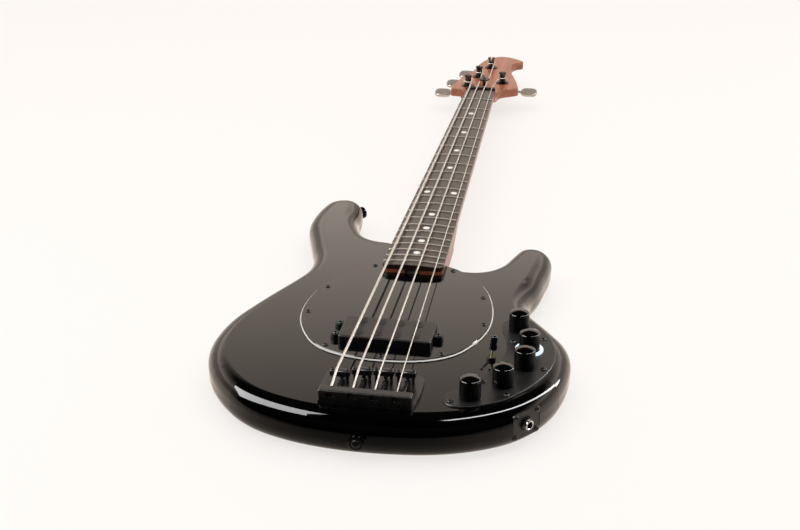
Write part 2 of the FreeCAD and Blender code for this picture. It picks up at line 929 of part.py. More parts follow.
def control_room():
    """Cavity under the control plate: a round pit for each control and channels between them."""
    floor = body_top - S.cavity_depth
    spots = [Vec(x, y, floor) for x, y in KNOBS.values()]
    pits = [rod(spot, spot + UP * (S.cavity_depth + 1), S.cavity_width) for spot in spots]
    for here, there in zip(spots, spots[1:]):
        length = (there - here).Length
        channel = block(0, length / 2, 0, S.channel_width, length, S.cavity_depth + 1)
        channel.rotate(Vec(), UP, math.degrees(math.atan2(there.y - here.y, there.x - here.x)) - 90)
        channel.translate(here)
        pits.append(channel)
    return pits


def toggle_room():
    """Hole for the switch, the room for its can below, and the channel to the control cavity."""
    top = Vec(S.toggle_x, S.toggle_y, body_top)
    skin = top - UP * S.toggle_skin
    floor = skin - UP * (S.toggle_can_height + S.fit_gap)
    reach = KNOBS[LIT_KNOB][0] - S.toggle_x
    channel = block(S.toggle_x + reach / 2, S.toggle_y, floor.z, reach, S.toggle_bush, skin.z - floor.z)
    return [
        rod(skin, top + UP, S.toggle_bush + S.screw_gap),
        rod(floor, skin, S.toggle_can + 2 * S.fit_gap),
        channel,
    ]


def battery_room():
    """Recess in the back for the battery box."""
    width, length, depth = box_size()
    gap = 2 * S.fit_gap
    flange = 2 * S.box_flange + gap
    rim_depth = S.fit_gap + S.lid_thick + S.box_wall / 2
    tub = block(S.battery_x, S.battery_y, -1, width + gap, length + gap, depth + S.fit_gap + 1)
    rim = block(S.battery_x, S.battery_y, -1, width + flange, length + flange, rim_depth + 1)
    return [tub, rim]


def box_size():
    """Outer width and length of the battery box, and the height of its inner end."""
    room = 2 * (S.box_wall + S.lid_gap)
    depth = S.lid_thick + S.battery_thick + S.box_wall + 4 * S.fit_gap
    return S.battery_width + room, S.battery_length + room, depth


def make_body():
    """Body: a slab with round edges, the neck pocket, the cavities and all screw holes."""
    blank = add_body("body_blank")
    pad = add_pad(blank, add_sketch(blank, "XY_Plane", chain(BODY_KEYS)), "Sizes.body_thick")
    faces = [face_at(pad, 0), face_at(pad, body_top)]
    add_edge_feature(blank, "Fillet", pad, faces, "Sizes.edge_round")
    tools = [prism(neck_plan(shaft_start_y, S.fit_gap), heel_floor, pocket_top)]
    tools.append(pickup_room(S.pickup_gap, body_top - S.pickup_cavity, body_top + 1))
    for x, y in ear_places():
        low = ear_top() - S.lift_screw_length - S.pickup_wall * 2
        tools.append(rod(Vec(x, y, low), Vec(x, y, body_top), S.lift_screw + 4 * S.fit_gap))
    tools += control_room() + toggle_room() + battery_room()
    plate = round_rectangle(
        S.neck_plate_x, S.neck_plate_y, S.neck_plate_width + 2 * S.fit_gap,
        S.neck_plate_length + 2 * S.fit_gap, S.heel_corner / 2,
    )
    tools.append(prism(plate, -1, S.fit_gap + S.neck_plate_thick))
    for spot in NECK_BOLTS:
        tools.append(rod(bolt_place(spot, -1), bolt_place(spot, heel_floor + 1), S.neck_bolt + S.screw_gap))
    gap = 2 * S.fit_gap
    seat = block(0, 0, -S.jack_sink, S.jack_width + gap, S.jack_height + gap, S.jack_length)
    tools.append(placed(seat, JACK_FRAME))
    deep = rod(Vec(0, 0, -S.jack_length - S.jack_barrel), Vec(), S.jack_nut)
    tools.append(placed(deep, JACK_FRAME))
    for place, out in BUTTONS:
        tools.append(rod(place - out * S.button_sink, place + out * S.button_height, S.button_foot + gap))
    tools += [pilot(*row) for row in body_screws()]
    cut_node("body", blank, tools)


def head_face_cut():
    """Space over the face of the headstock, with the curved step behind the nut."""
    drop = glue_plane - head_face
    bend = (S.face_run ** 2 - drop ** 2) / (2 * S.face_run)
    wide = -S.scale_length / 4
    far_y = nut_y + S.scale_length
    start = Vec(wide, nut_back_y, glue_plane)
    corner = Vec(wide, nut_back_y + bend, head_face)
    end = Vec(wide, nut_back_y + S.face_run, head_face)
    rest = [end, Vec(wide, far_y, head_face), Vec(wide, far_y, pocket_top)]
    rest += [Vec(wide, nut_back_y, pocket_top), start]
    edges = [arc_under(start, corner, end)]
    edges += [Part.LineSegment(a, b) for a, b in zip(rest, rest[1:])]
    face = Part.Face(Part.Wire([edge.toShape() for edge in edges]))
    return face.extrude(Vec(-2 * wide, 0, 0))


def is_head_corner(edge):
    """True for the upright edges at the sharp corners of the headstock."""
    sharp = [key for key in HEAD_KEYS if len(key) == 4]
    box = edge.BoundBox
    upright = box.ZLength > S.head_thick / 2 and box.XLength + box.YLength < 1e-3
    return upright and any(abs(box.XMin - key[0]) + abs(box.YMin - nut_y - key[1]) < 1e-2 for key in sharp)


def is_head_rim(edge):
    """True for the level edges round the face and the back of the headstock."""
    box = edge.BoundBox
    return box.ZLength < 1e-4 and box.YMax > nut_y + 1e-3


def make_neck():
    """Neck and headstock of one piece of wood, with the heel, the rod channel and all holes."""
    heel_half = neck_half(S.heel_reach_y)
    half = neck_half(nut_y)
    shoulder = S.heel_corner / 2
    at_nut = neck_section(nut_y, half, S.shaft_depth_nut, shoulder, shoulder)
    shaft = Part.makeLoft([
        neck_section(S.heel_reach_y, heel_half, S.heel_depth, S.heel_depth - shoulder, heel_half - shoulder),
        neck_section(shaft_start_y, neck_half(shaft_start_y), S.shaft_depth_heel, shoulder, shoulder),
        at_nut,
    ], True, True)
    heel = prism(neck_plan(S.heel_reach_y, 0), heel_floor, glue_plane)
    keys = [(half, nut_y, 0, 90)]
    keys += [(key[0], nut_y + key[1]) + key[2:] for key in HEAD_KEYS]
    keys.append((-half, nut_y, 270, 0))
    head = prism(chain(keys), head_back, head_face)
    head = head.makeFillet(S.head_edge * 3, [edge for edge in head.Edges if is_head_corner(edge)])
    head = head.makeFillet(S.head_edge, [edge for edge in head.Edges if is_head_rim(edge)])
    step = prism(chain(keys), head_face, glue_plane).cut(head_face_cut())
    wide = 2 * S.nut_width
    deep = glue_plane - head_back + 1
    flare_y = nut_y + S.head_flare
    at_flare = neck_section(flare_y, wide, deep, deep - shoulder, wide - shoulder)
    flare = Part.makeLoft([at_nut, at_flare], True, True)
    beyond = block(0, flare_y + S.scale_length / 4, head_back - 1, 2 * wide, S.scale_length / 2, deep)
    head = head.fuse(step).removeSplitter().common(flare.fuse(beyond))
    wood = heel.multiFuse([shaft, head]).removeSplitter()
    axis = Vec(0, S.heel_end_y, wheel_height())
    notch_depth = S.wheel_thick + 3 * S.fit_gap
    length = nut_y - S.rod_stop - S.heel_end_y
    height = glue_plane - axis.z
    tools = [
        block(0, axis.y + length / 2, axis.z - S.rod_width / 2, S.rod_width, length, height + S.rod_width),
        block(0, axis.y + notch_depth / 2, axis.z, S.wheel_notch, notch_depth, height + S.rod_width),
        rod(axis, axis + Vec(0, notch_depth, 0), S.wheel_notch),
    ]
    tip = S.fit_gap + S.neck_bolt_length + 1
    for spot in NECK_BOLTS:
        tools.append(rod(bolt_place(spot, 0), bolt_place(spot, tip), S.neck_bolt + S.screw_gap))
    for post in [post_place(name) for name in STRINGS]:
        tools.append(rod(post, post + UP * pocket_top, S.sleeve_size + S.screw_gap))
    tools += [pilot(*row) for row in head_screws()]
    add_node("neck", wood.cut(tools))


def make_truss_rod():
    """Truss rod in its channel, and the wheel on its end."""
    axis = Vec(0, S.heel_end_y + 2 * S.fit_gap, wheel_height())
    rod_size = S.rod_width - 4 * S.fit_gap
    end = Vec(0, nut_y - S.rod_stop - S.fit_gap, axis.z)
    add_node("truss_rod", rod(axis, end, rod_size))
    wheel = rod(axis, axis + Vec(0, S.wheel_thick, 0), S.wheel_size)
    bore = rod(axis - Vec(0, 1, 0), axis + Vec(0, S.wheel_thick + 1, 0), rod_size + 2 * S.running_gap)
    middle = axis + Vec(0, S.wheel_thick / 2, 0)
    holes = []
    for index in range(int(S.wheel_holes)):
        angle = 2 * math.pi * index / S.wheel_holes
        spoke = Vec(math.sin(angle), 0, math.cos(angle))
        holes.append(rod(middle, middle + spoke * S.wheel_size, S.wheel_hole_size))
    add_node("truss_wheel", wheel.cut([bore] + holes))


def crowned(shape, rise):
    """The part of a shape below the round top of the fingerboard, raised by rise."""
    axis = Vec(0, 0, board_top - S.board_radius)
    return shape.common(rod(axis, axis + Vec(0, 2 * S.scale_length, 0), 2 * (S.board_radius + rise)))


def make_board():
    """Fingerboard, the dots set flush in it, and its frets."""
    blank = crowned(prism(neck_plan(nut_y, 0), glue_plane, board_top), 0)
    octave_y = (fret_y(OCTAVE_FRET) + fret_y(OCTAVE_FRET - 1)) / 2
    places = [(0, (fret_y(number) + fret_y(number - 1)) / 2) for number in DOT_FRETS]
    places += [(-S.dot_spread / 2, octave_y), (S.dot_spread / 2, octave_y)]
    floor = board_top - S.dot_depth
    plugs = [rod(Vec(x, y, floor), Vec(x, y, board_top + 1), S.dot_size) for x, y in places]
    add_node("fingerboard", blank.cut(plugs))
    add_node("position_dots", Part.makeCompound([crowned(plug, 0) for plug in plugs]))
    frets = []
    centre = Vec(0, 0, board_top - S.board_radius)
    for number in range(1, int(S.fret_count) + 1):
        y = fret_y(number)
        near = Vec(0, y - S.fret_width / 2, board_top)
        far = Vec(0, y + S.fret_width / 2, board_top)
        bead = Part.Arc(near, Vec(0, y, board_top + S.fret_height), far)
        face = Part.Face(Part.Wire([bead.toShape(), Part.LineSegment(far, near).toShape()]))
        swing = math.degrees(math.asin((neck_half(y) - S.fret_inset) / S.board_radius))
        face.rotate(centre, Vec(0, 1, 0), -swing)
        frets.append(face.revolve(centre, Vec(0, 1, 0), 2 * swing))
    add_node("frets", Part.makeCompound(frets))


def make_nut():
    """Nut with a round slot for each string."""
    height = S.board_thick + 2 * S.nut_rise
    bar = block(0, nut_y + S.nut_length / 2, glue_plane, 2 * neck_half(nut_y), S.nut_length, height)
    add_node("nut", crowned(bar, S.nut_rise + S.nut_lip).cut(string_grooves(S.running_gap)))


def make_guard():
    """Three-ply pickguard: a black base and skin with a white core that shows in the bevel."""
    end = (S.guard_end_x, S.guard_top_y)
    keys = GUARD_KEYS + [end + (GUARD_END_HEADING, 180), (-end[0], end[1], 180, 360 - GUARD_END_HEADING)]
    keys += [(-x, y, 360 - way) for x, y, way in reversed(GUARD_KEYS[1:])]
    full = prism(chain(keys), body_top, guard_top)
    upper = [edge for edge in full.Edges if edge.BoundBox.ZMin > guard_top - 1e-4]
    rim = [edge for edge in upper if edge.BoundBox.YMax < S.guard_top_y - 1e-3]
    full = full.makeChamfer(S.guard_bevel, rim)
    tools = [prism(neck_plan(shaft_start_y, S.fit_gap), body_top - 1, pocket_top)]
    tools.append(pickup_room(S.pickup_gap, body_top - 1, pocket_top))
    tools += [pilot(*row) for row in body_screws()]
    full = full.cut(tools)
    core_floor = body_top + S.guard_base
    core_top = core_floor + S.guard_core
    base = full.common(slab(body_top, core_floor))
    skin = full.common(slab(core_top, guard_top))
    add_node("pickguard", Part.makeCompound(base.Solids + skin.Solids))
    add_node("pickguard_core", full.common(slab(core_floor, core_top)))


def length_screw_axis(name, y):
    """A point on the axis of a saddle's length screw."""
    return Vec(crest_of(name).x + S.length_screw_shift, y, body_top + S.length_screw_rise)


def make_bridge():
    """Bridge plate: a flared base and an upright rear wall for the strings and the length screws."""
    middle = S.bridge_shift
    half = S.bridge_width / 2
    flare = S.bridge_flare / 2
    shoulder_y = wall_rear_y + S.bridge_shoulder
    front = flare - S.bridge_corner
    keys = [
        (middle - half, wall_rear_y, 284, 0),
        (middle + half, wall_rear_y, 0, 76),
        (middle + flare, shoulder_y, 90),
        (middle + front, S.bridge_front_y, 180),
        (middle - front, S.bridge_front_y, 180),
        (middle - flare, shoulder_y, 270),
    ]
    blank = add_body("bridge_blank")
    add_pad(blank, add_sketch(blank, "XY_Plane", chain(keys), "Sizes.body_thick"), "Sizes.bridge_plate")
    wall_y = (S.wall_y + wall_rear_y) / 2
    wall = round_rectangle(middle, wall_y, S.bridge_width, S.wall_thick, S.wall_round)
    pad = add_pad(blank, add_sketch(blank, "XY_Plane", wall, "Sizes.body_thick"), "Sizes.wall_height")
    add_edge_feature(blank, "Fillet", pad, [face_at(pad, body_top + S.wall_height)], "Sizes.wall_round")
    tools = []
    for name in STRINGS:
        ball = ball_of(name)
        mouth = Vec(ball.x, wall_rear_y, ball.z)
        tools.append(rod(mouth - Vec(0, 1, 0), mouth + Vec(0, S.ball_seat_depth, 0), S.ball_seat))
        way = (crest_of(name) - ball).normalize()
        tools.append(rod(ball, ball + way * S.wall_thick, S.string_hole))
        tools.append(rod(length_screw_axis(name, wall_rear_y - 1), length_screw_axis(name, S.wall_y + 1),
                         S.length_screw + 2 * S.running_gap))
    tools += [pilot(*row) for row in body_screws()]
    cut_node("bridge_plate", blank, tools)


def make_saddles():
    """Four saddles, each on two set screws, and the screws that set the strings' length."""
    grooves = dict(zip(STRINGS, string_grooves(S.groove_gap)))
    for name in STRINGS:
        crest = crest_of(name)
        x = crest.x + S.saddle_shift
        floor = saddle_deck + S.saddle_floor
        top = crest.z - gauge_of(name) / 2 + S.set_screw_proud
        saddle = block(x, crest.y, floor, S.saddle_width, S.saddle_length, top - floor)
        upper = [edge for edge in saddle.Edges if edge.BoundBox.ZMin > top - 1e-4]
        saddle = saddle.makeFillet(S.saddle_round, [edge for edge in upper if edge.BoundBox.XLength > 1])
        legs = []
        holes = []
        for side in (-1, 1):
            foot = Vec(x + side * S.set_screw_spread / 2, crest.y, saddle_deck)
            head = Vec(foot.x, foot.y, top + S.set_screw_proud)
            key = rod(head - UP * S.set_screw_proud, head, S.set_screw / 2)
            legs.append(rod(foot, head, S.set_screw).cut(key))
            holes.append(rod(foot, head, S.set_screw + S.screw_gap))
        tip = length_screw_axis(name, crest.y + S.saddle_length / 2 + S.length_screw_tip)
        seat = length_screw_axis(name, wall_rear_y - S.running_gap)
        bore = rod(seat, tip, S.length_screw + 2 * S.running_gap)
        saddle = saddle.cut(holes + [bore, grooves[name]])
        add_node(f"saddle_{name}", Part.makeCompound([saddle] + legs))
        head_end = seat - Vec(0, S.length_screw_head_thick, 0)
        cap = rod(head_end, seat, S.length_screw_head)
        slot = block(seat.x, head_end.y, seat.z - S.length_screw_head, S.length_screw / 3,
                     S.length_screw_head_thick, 2 * S.length_screw_head)
        shank = rod(seat, tip, S.length_screw)
        add_node(f"length_screw_{name}", cap.cut(slot).fuse(shank).removeSplitter())


def spring(label, start, end, size, wire, turns):
    """Compression spring from start to end, its ends running straight for one wire thickness."""
    axis = (end - start).normalize()
    side = Vec(1, 0, 0)
    radius = (size - wire) / 2
    foot = start + axis * wire
    pitch = ((end - start).Length - 2 * wire) / turns
    coil, last_way = helix(foot, axis, side, radius, pitch, int(4 * turns))
    first = coil[0].value(coil[0].FirstParameter)
    first_way = coil[0].tangent(coil[0].FirstParameter)[0]
    last = coil[-1].value(coil[-1].LastParameter)
    edges = [Part.LineSegment(first - first_way * wire, first)] + coil
    edges.append(Part.LineSegment(last, last + last_way * wire))
    print(f"{label}: least gap between turns {least_gap(coil, wire, math.pi * radius):.2f} mm")
    return tube(edges, wire)


def ear_top():
    """Height of the tops of the pickup's ears."""
    return body_top + S.pickup_rise - S.ear_step


def make_springs():
    """Springs behind the saddles and under the pickup's ears."""
    coils = []
    for name in STRINGS:
        rear = length_screw_axis(name, crest_of(name).y - S.saddle_length / 2 - S.fit_gap)
        wall = length_screw_axis(name, S.wall_y + S.fit_gap)
        label = f"length spring {name}"
        coils.append(spring(label, wall, rear, S.spring_size, S.spring_wire, S.spring_turns))
    floor = body_top - S.pickup_cavity + S.fit_gap
    ceiling = body_top - S.pickup_skirt - S.fit_gap
    for x, y in ear_places():
        foot = Vec(x, y, floor)
        head = Vec(x, y, ceiling)
        label = f"lift spring at {x:.0f}, {y:.0f}"
        coils.append(spring(label, foot, head, S.lift_spring_size, S.spring_wire, S.lift_spring_turns))
    add_node("springs", Part.makeCompound(coils))


def pole_places():
    """Centres of the eight poles: one row in each coil."""
    rows = [S.pickup_y - S.pole_rows / 2, S.pickup_y + S.pole_rows / 2]
    return [(S.pole_shift + rank * S.pole_spread / 3, y) for y in rows for rank in STRINGS.values()]


def make_pickup():
    """Pickup: a cover with three ears, two coils, eight poles and the three screws it hangs from."""
    floor = body_top - S.pickup_skirt
    top = body_top + S.pickup_rise
    edges, ears = pickup_outline(0)
    blank = add_body("pickup_blank")
    pad = add_pad(blank, add_sketch(blank, "XY_Plane", edges, "Sizes.body_thick - Sizes.pickup_skirt"),
                  "Sizes.pickup_rise + Sizes.pickup_skirt")
    add_edge_feature(blank, "Fillet", pad, [face_at(pad, top)], "Sizes.pickup_wall")
    inner = round_rectangle(0, S.pickup_y, S.pickup_width - 2 * S.pickup_wall,
                            S.pickup_length - 2 * S.pickup_wall, S.pickup_corner - S.pickup_wall)
    add_pocket(blank, add_sketch(blank, "XY_Plane", inner, "Sizes.body_thick - Sizes.pickup_skirt"),
               "Sizes.pickup_rise + Sizes.pickup_skirt - Sizes.pickup_wall", upward=True)
    poles = [rod(Vec(x, y, top + S.pole_proud - S.pole_length), Vec(x, y, top + S.pole_proud), S.pole_size)
             for x, y in pole_places()]
    holes = [rod(Vec(x, y, floor), Vec(x, y, top + 1), S.pole_size + S.screw_gap) for x, y in pole_places()]
    cover = blank.Shape.cut(holes)
    for x, y, size in ears:
        ear = rod(Vec(x, y, floor), Vec(x, y, ear_top()), size)
        room = prism(inner, floor - 1, top)
        cover = cover.fuse(ear.cut(room))
    bore = S.lift_screw + S.screw_gap
    lifts = [rod(Vec(x, y, floor - 1), Vec(x, y, ear_top() + 1), bore) for x, y in ear_places()]
    add_node("pickup_cover", cover.cut(lifts).removeSplitter())
    add_node("pickup_poles", Part.makeCompound(poles))
    coils = []
    for side in (-1, 1):
        y = S.pickup_y + side * S.pole_rows / 2
        edges = round_rectangle(0, y, S.coil_width, S.coil_length, S.coil_length / 2 - S.fit_gap)
        ceiling = top - S.pickup_wall - S.fit_gap
        coils.append(prism(edges, ceiling - S.coil_height, ceiling).cut(holes))
    add_node("pickup_coils", Part.makeCompound(coils))
    rows = [(Vec(x, y, ear_top()), UP * -1) for x, y in ear_places()]
    add_node("pickup_screws", Part.makeCompound([
        screw(seat, way, S.lift_screw, S.lift_screw_length, S.lift_screw_head, S.cover_screw_dome)
        for seat, way in rows
    ]))


def make_controls():
    """Control plate with five potentiometers, their knobs and the light ring."""
    blank = add_body("control_blank")
    pad = add_pad(blank, add_sketch(blank, "XY_Plane", chain(CONTROL_KEYS), "Sizes.body_thick"),
                  "Sizes.control_plate")
    add_edge_feature(blank, "Chamfer", pad, [face_at(pad, control_top)], "Sizes.control_plate / 3")
    tools = [pilot(*row) for row in body_screws()]
    pots = []
    for label, (x, y) in KNOBS.items():
        place = Vec(x, y, 0)
        tools.append(rod(place, place + UP * pocket_top, S.pot_bush + S.screw_gap))
        pot = turned(profile([
            (0, body_top - S.pot_height),
            (S.pot_size / 2, body_top - S.pot_height),
            (S.pot_size / 2, body_top),
            (S.pot_bush / 2, body_top),
            (S.pot_bush / 2, control_top),
            (S.pot_nut / 2, control_top),
            (S.pot_nut / 2, control_top + S.pot_nut_height),
            (0, control_top + S.pot_nut_height),
        ]))
        shaft_floor = body_top - S.pot_height / 2
        bore = rod(UP * (shaft_floor - S.fit_gap), UP * pocket_top, S.pot_shaft + 2 * S.running_gap)
        pot = pot.cut(bore)
        pot.translate(place)
        pots.append(pot)
        make_knob(label, place, shaft_floor)
    cut_node("control_plate", blank, tools)
    add_node("potentiometers", Part.makeCompound(pots))
    place = Vec(*KNOBS[LIT_KNOB], control_top)
    inner = S.knob_size + 4 * S.fit_gap
    ring = rod(place, place + UP * S.ring_height, S.ring_size)
    ring = ring.cut(rod(place, place + UP * S.ring_height, inner))
    rims = [edge for edge in ring.Edges if edge.BoundBox.ZMin > control_top + S.ring_height - 1e-4]
    add_node("light_ring", ring.makeFillet(S.ring_height / 3, rims))


def is_level_at(edge, height):
    """True for an edge that lies level at a height."""
    return abs(edge.BoundBox.ZMin - height) + abs(edge.BoundBox.ZMax - height) < 1e-3


def make_knob(label, place, shaft_floor):
    """Domed knob, hollow below to clear the nut, on the potentiometer's shaft."""
    floor = control_top + S.knob_lift
    crown = floor + S.knob_height
    foot = S.knob_size / 2
    waist = foot - S.knob_taper
    shoulder = crown - S.knob_dome
    recess_top = control_top + S.pot_nut_height + S.knob_lift
    grip_top = recess_top + S.shaft_depth
    shaft = S.pot_shaft / 2 + S.screw_gap / 2
    flat = waist / 8
    dome = Part.Arc(
        Vec(waist, 0, shoulder),
        Vec(waist / 2, 0, crown - S.knob_dome / 4),
        Vec(flat, 0, crown),
    )
    corners = [
        (flat, crown),
        (0, crown),
        (0, grip_top),
        (shaft, grip_top),
        (shaft, recess_top),
        (S.knob_recess / 2, recess_top),
        (S.knob_recess / 2, floor),
        (foot, floor),
        (waist, shoulder),
    ]
    points = [Vec(radius, 0, height) for radius, height in corners]
    knob = turned([dome] + [Part.LineSegment(a, b) for a, b in zip(points, points[1:])])
    rim = [edge for edge in knob.Edges if is_level_at(edge, shoulder)]
    knob = knob.makeFillet(S.knob_corner, rim)
    axle = rod(UP * shaft_floor, UP * (grip_top - S.fit_gap), S.pot_shaft)
    both = Part.makeCompound([knob, axle])
    both.translate(place)
    add_node(label, both)


def make_toggle():
    """Two-way switch under the top, and its lever thrown to the treble side."""
    top = body_top + S.toggle_nut_height
    skin = body_top - S.toggle_skin
    floor = skin - S.toggle_can_height
    switch = turned(profile([
        (0, floor),
        (S.toggle_can / 2, floor),
        (S.toggle_can / 2, skin),
        (S.toggle_bush / 2, skin),
        (S.toggle_bush / 2, body_top),
        (S.toggle_nut / 2, body_top),
        (S.toggle_nut / 2, top),
        (0, top),
    ]))
    bore = rod(UP * (body_top - S.toggle_ball), UP * pocket_top, S.toggle_ball + 2 * S.running_gap)
    place = Vec(S.toggle_x, S.toggle_y, 0)
    add_node("toggle_switch", switch.cut(bore).translated(place))
    pivot = Vec(S.toggle_x, S.toggle_y, body_top)
    ball = Part.makeSphere(S.toggle_ball / 2, pivot)
    stem_end = pivot + UP * (S.lever_length - S.lever_tip_length)
    end = pivot + UP * S.lever_length
    tip = rod(stem_end, end, S.lever_tip_size)
    tip = tip.makeFillet(S.lever_tip_round, [edge for edge in tip.Edges if is_level_at(edge, end.z)])
    lever = ball.multiFuse([rod(pivot, stem_end, S.lever_size), tip]).removeSplitter()
    lever.rotate(pivot, Vec(0, 1, 0), S.toggle_tilt)
    add_node("toggle_lever", lever)


def make_jack():
    """Output jack in its plate on the side wall."""
    face = jack_face
    plate = prism(round_rectangle(0, 0, S.jack_width, S.jack_height, S.jack_corner), -S.jack_sink, face)
    plate = plate.cut(rod(Vec(0, 0, -S.jack_length), Vec(0, 0, S.jack_length), S.jack_barrel + S.screw_gap))
    plate = placed(plate, JACK_FRAME).cut([pilot(*row) for row in body_screws()])
    add_node("jack_plate", plate)
    jack = turned(profile([
        (S.jack_bore / 2, face + S.jack_proud),
        (S.jack_bore / 2, face + S.jack_barrel / 2 - S.jack_length),
        (0, face + S.jack_barrel / 2 - S.jack_length),
        (0, face - S.jack_length),
        (S.jack_barrel / 2, face - S.jack_length),
        (S.jack_barrel / 2, face),
        (S.jack_nut / 2, face),
        (S.jack_nut / 2, face + S.jack_nut_thick),
        (S.jack_barrel / 2, face + S.jack_nut_thick),
        (S.jack_barrel / 2, face + S.jack_proud),
    ]))
    add_node("output_jack", placed(jack, JACK_FRAME))


def make_buttons():
    """Two strap buttons."""
    buttons = []
    for key in (TAIL_KEY, HORN_KEY):
        floor = -S.button_sink
        top = floor + S.button_height
        button = turned(profile([
            (S.strap_screw / 2 + S.screw_gap / 2, floor),
            (S.button_foot / 2, floor),
            (S.button_foot / 2, floor + S.button_head_thick / 2),
            (S.button_neck / 2, floor + S.button_head_thick),
            (S.button_neck / 2, top - S.button_head_thick * 1.3),
            (S.button_head / 2, top - S.button_head_thick * 0.8),
            (S.button_head / 2, top - S.button_head_thick * 0.2),
            (S.button_head / 2 - S.button_head_thick * 0.3, top),
            (S.strap_screw / 2 + S.screw_gap / 2, top),
        ]))
        buttons.append(placed(button, wall_frame(key)))
    add_node("strap_buttons", Part.makeCompound(buttons))


def make_neck_plate():
    """Plate in the back of the body and the five countersunk bolts that hold the neck."""
    floor = S.fit_gap
    top = floor + S.neck_plate_thick
    tip = floor + S.neck_bolt_length

    def bolt(gap):
        head = S.neck_bolt_head / 2 + gap
        shank = S.neck_bolt / 2 + gap
        return turned(profile([(0, floor), (head, floor), (shank, top), (shank, tip), (0, tip)]))

    outline = round_rectangle(S.neck_plate_x, S.neck_plate_y, S.neck_plate_width, S.neck_plate_length,
                              S.heel_corner / 2)
    plate = prism(outline, floor, top)
    places = [bolt_place(spot, 0) for spot in NECK_BOLTS]
    add_node("neck_plate", plate.cut([bolt(S.screw_gap).translated(place) for place in places]))
    add_node("neck_screws", Part.makeCompound([bolt(0).translated(place) for place in places]))


def make_battery():
    """Battery in its box in the back, behind a lid on two pins."""
    width, length, depth = box_size()
    floor = S.fit_gap
    flange_top = floor + S.lid_thick + S.box_wall / 2
    x = S.battery_x
    y = S.battery_y
    tub = block(x, y, floor, width, length, depth - floor)
    flange = block(x, y, floor, width + 2 * S.box_flange, length + 2 * S.box_flange, flange_top - floor)
    walls = 2 * S.box_wall
    room = block(x, y, floor - 1, width - walls, length - walls, depth - S.box_wall - floor + 1)
    pivot = lid_pivot()
    reach = length / 2 - S.box_wall + 2 * S.lid_pin
    pin_ends = (pivot - Vec(0, reach, 0), pivot + Vec(0, reach, 0))
    box = tub.fuse(flange).cut([room, rod(*pin_ends, S.lid_pin + 2 * S.running_gap)]).removeSplitter()
    add_node("battery_box", box)
    lid_length = length - 2 * S.box_wall - 2 * S.lid_gap
    far_x = x + width / 2 - S.box_wall - S.lid_gap
    lid = block((pivot.x + far_x) / 2, y, floor, far_x - pivot.x, lid_length, S.lid_thick)
    barrel = rod(pivot - Vec(0, lid_length / 2, 0), pivot + Vec(0, lid_length / 2, 0), S.lid_thick)
    pin_reach = Vec(0, reach - S.fit_gap, 0)
    pins = rod(pivot - pin_reach, pivot + pin_reach, S.lid_pin)
    add_node("battery_lid", lid.multiFuse([barrel, pins]).removeSplitter())
    cell_floor = floor + S.lid_thick + S.fit_gap
    cell = block(x, y, cell_floor, S.battery_width - S.box_wall, S.battery_length, S.battery_thick)
    cell = cell.makeFillet(S.box_wall, [edge for edge in cell.Edges if edge.BoundBox.XLength > S.box_wall])
    end = x + S.battery_width / 2 - S.box_wall / 2
    snaps = []
    for side in (-1, 1):
        snap = Vec(end - 1, y + side * S.battery_length / 4, cell_floor + S.battery_thick / 2)
        snaps.append(rod(snap, snap + Vec(1 + S.box_wall / 2, 0, 0), S.battery_length / 5))
    add_node("battery", cell.multiFuse(snaps).removeSplitter())


def lid_pivot():
    """Centre of the battery lid's hinge."""
    width, length, depth = box_size()
    x = S.battery_x - width / 2 + S.box_wall + S.lid_gap + S.lid_thick / 2
    return Vec(x, S.battery_y, S.fit_gap + S.lid_thick / 2)


def make_circuit():
    """Preamplifier board on the floor of the control cavity."""
    low, high = [Vec(*KNOBS[label], 0) for label in ("knob_middle", LIT_KNOB)]
    middle = (low + high) * 0.5
    floor = body_top - S.cavity_depth
    board = block(middle.x, middle.y, floor, S.board_size_x, S.board_size_y, S.circuit_thick)
    chips = []
    for share in (-0.25, 0.25):
        chip_y = middle.y + share * S.board_size_y
        chips.append(block(middle.x, chip_y, floor, S.board_size_x / 2, S.board_size_y / 4, S.chip_height))
    add_node("circuit_board", board.multiFuse(chips).removeSplitter())


def gear_heights():
    """Heights of the bottom and the top of the wheels on the tuning posts."""
    top = head_back - S.machine_plate - S.gear_drop
    return top - S.wheel_gear_thick, top


def worm_place(name):
    """Centre of a tuning machine's worm."""
    floor, top = gear_heights()
    return post_place(name) + Vec(0, S.worm_offset, (floor + top) / 2)


def make_tuners():
    """Tuning machines: plate, bushing, key with its worm, and post with its wheel."""
    plates = []
    bushings = []
    for name, side in KEY_SIDE.items():
        plates.append(machine_plate(name))
        bushings.append(machine_bushing(name))
        add_node(f"tuner_key_{name}", machine_key(name, side))
        add_node(f"tuner_post_{name}", machine_post(name))
    add_node("tuner_plates", Part.makeCompound(plates))
    add_node("tuner_bushings", Part.makeCompound(bushings))


def machine_plate(name):
    """Plate under the headstock with two ears that hold the worm's shaft."""
    post = post_place(name)
    worm = worm_place(name)
    floor = head_back - S.machine_plate
    centre_y = post.y + S.machine_length / 2 - S.machine_hold
    outline = round_rectangle(post.x, centre_y, S.machine_width, S.machine_length, S.ear_thick)
    plate = prism(outline, floor, head_back)
    drop = floor - worm.z + S.ear_width / 2
    ear_x = (S.worm_length + S.ear_thick) / 2 + 2 * S.fit_gap
    ears = []
    for side in (-1, 1):
        ears.append(block(post.x + side * ear_x, worm.y, floor - drop, S.ear_thick, S.ear_width, drop))
    half = Vec(S.machine_width, 0, 0)
    holes = [
        rod(post, post + UP * pocket_top, S.post_shaft + 4 * S.fit_gap),
        rod(worm - half, worm + half, S.key_shaft + 2 * S.running_gap),
    ]
    holes += [pilot(*row) for row in head_screws()]
    return plate.multiFuse(ears).cut(holes).removeSplitter()


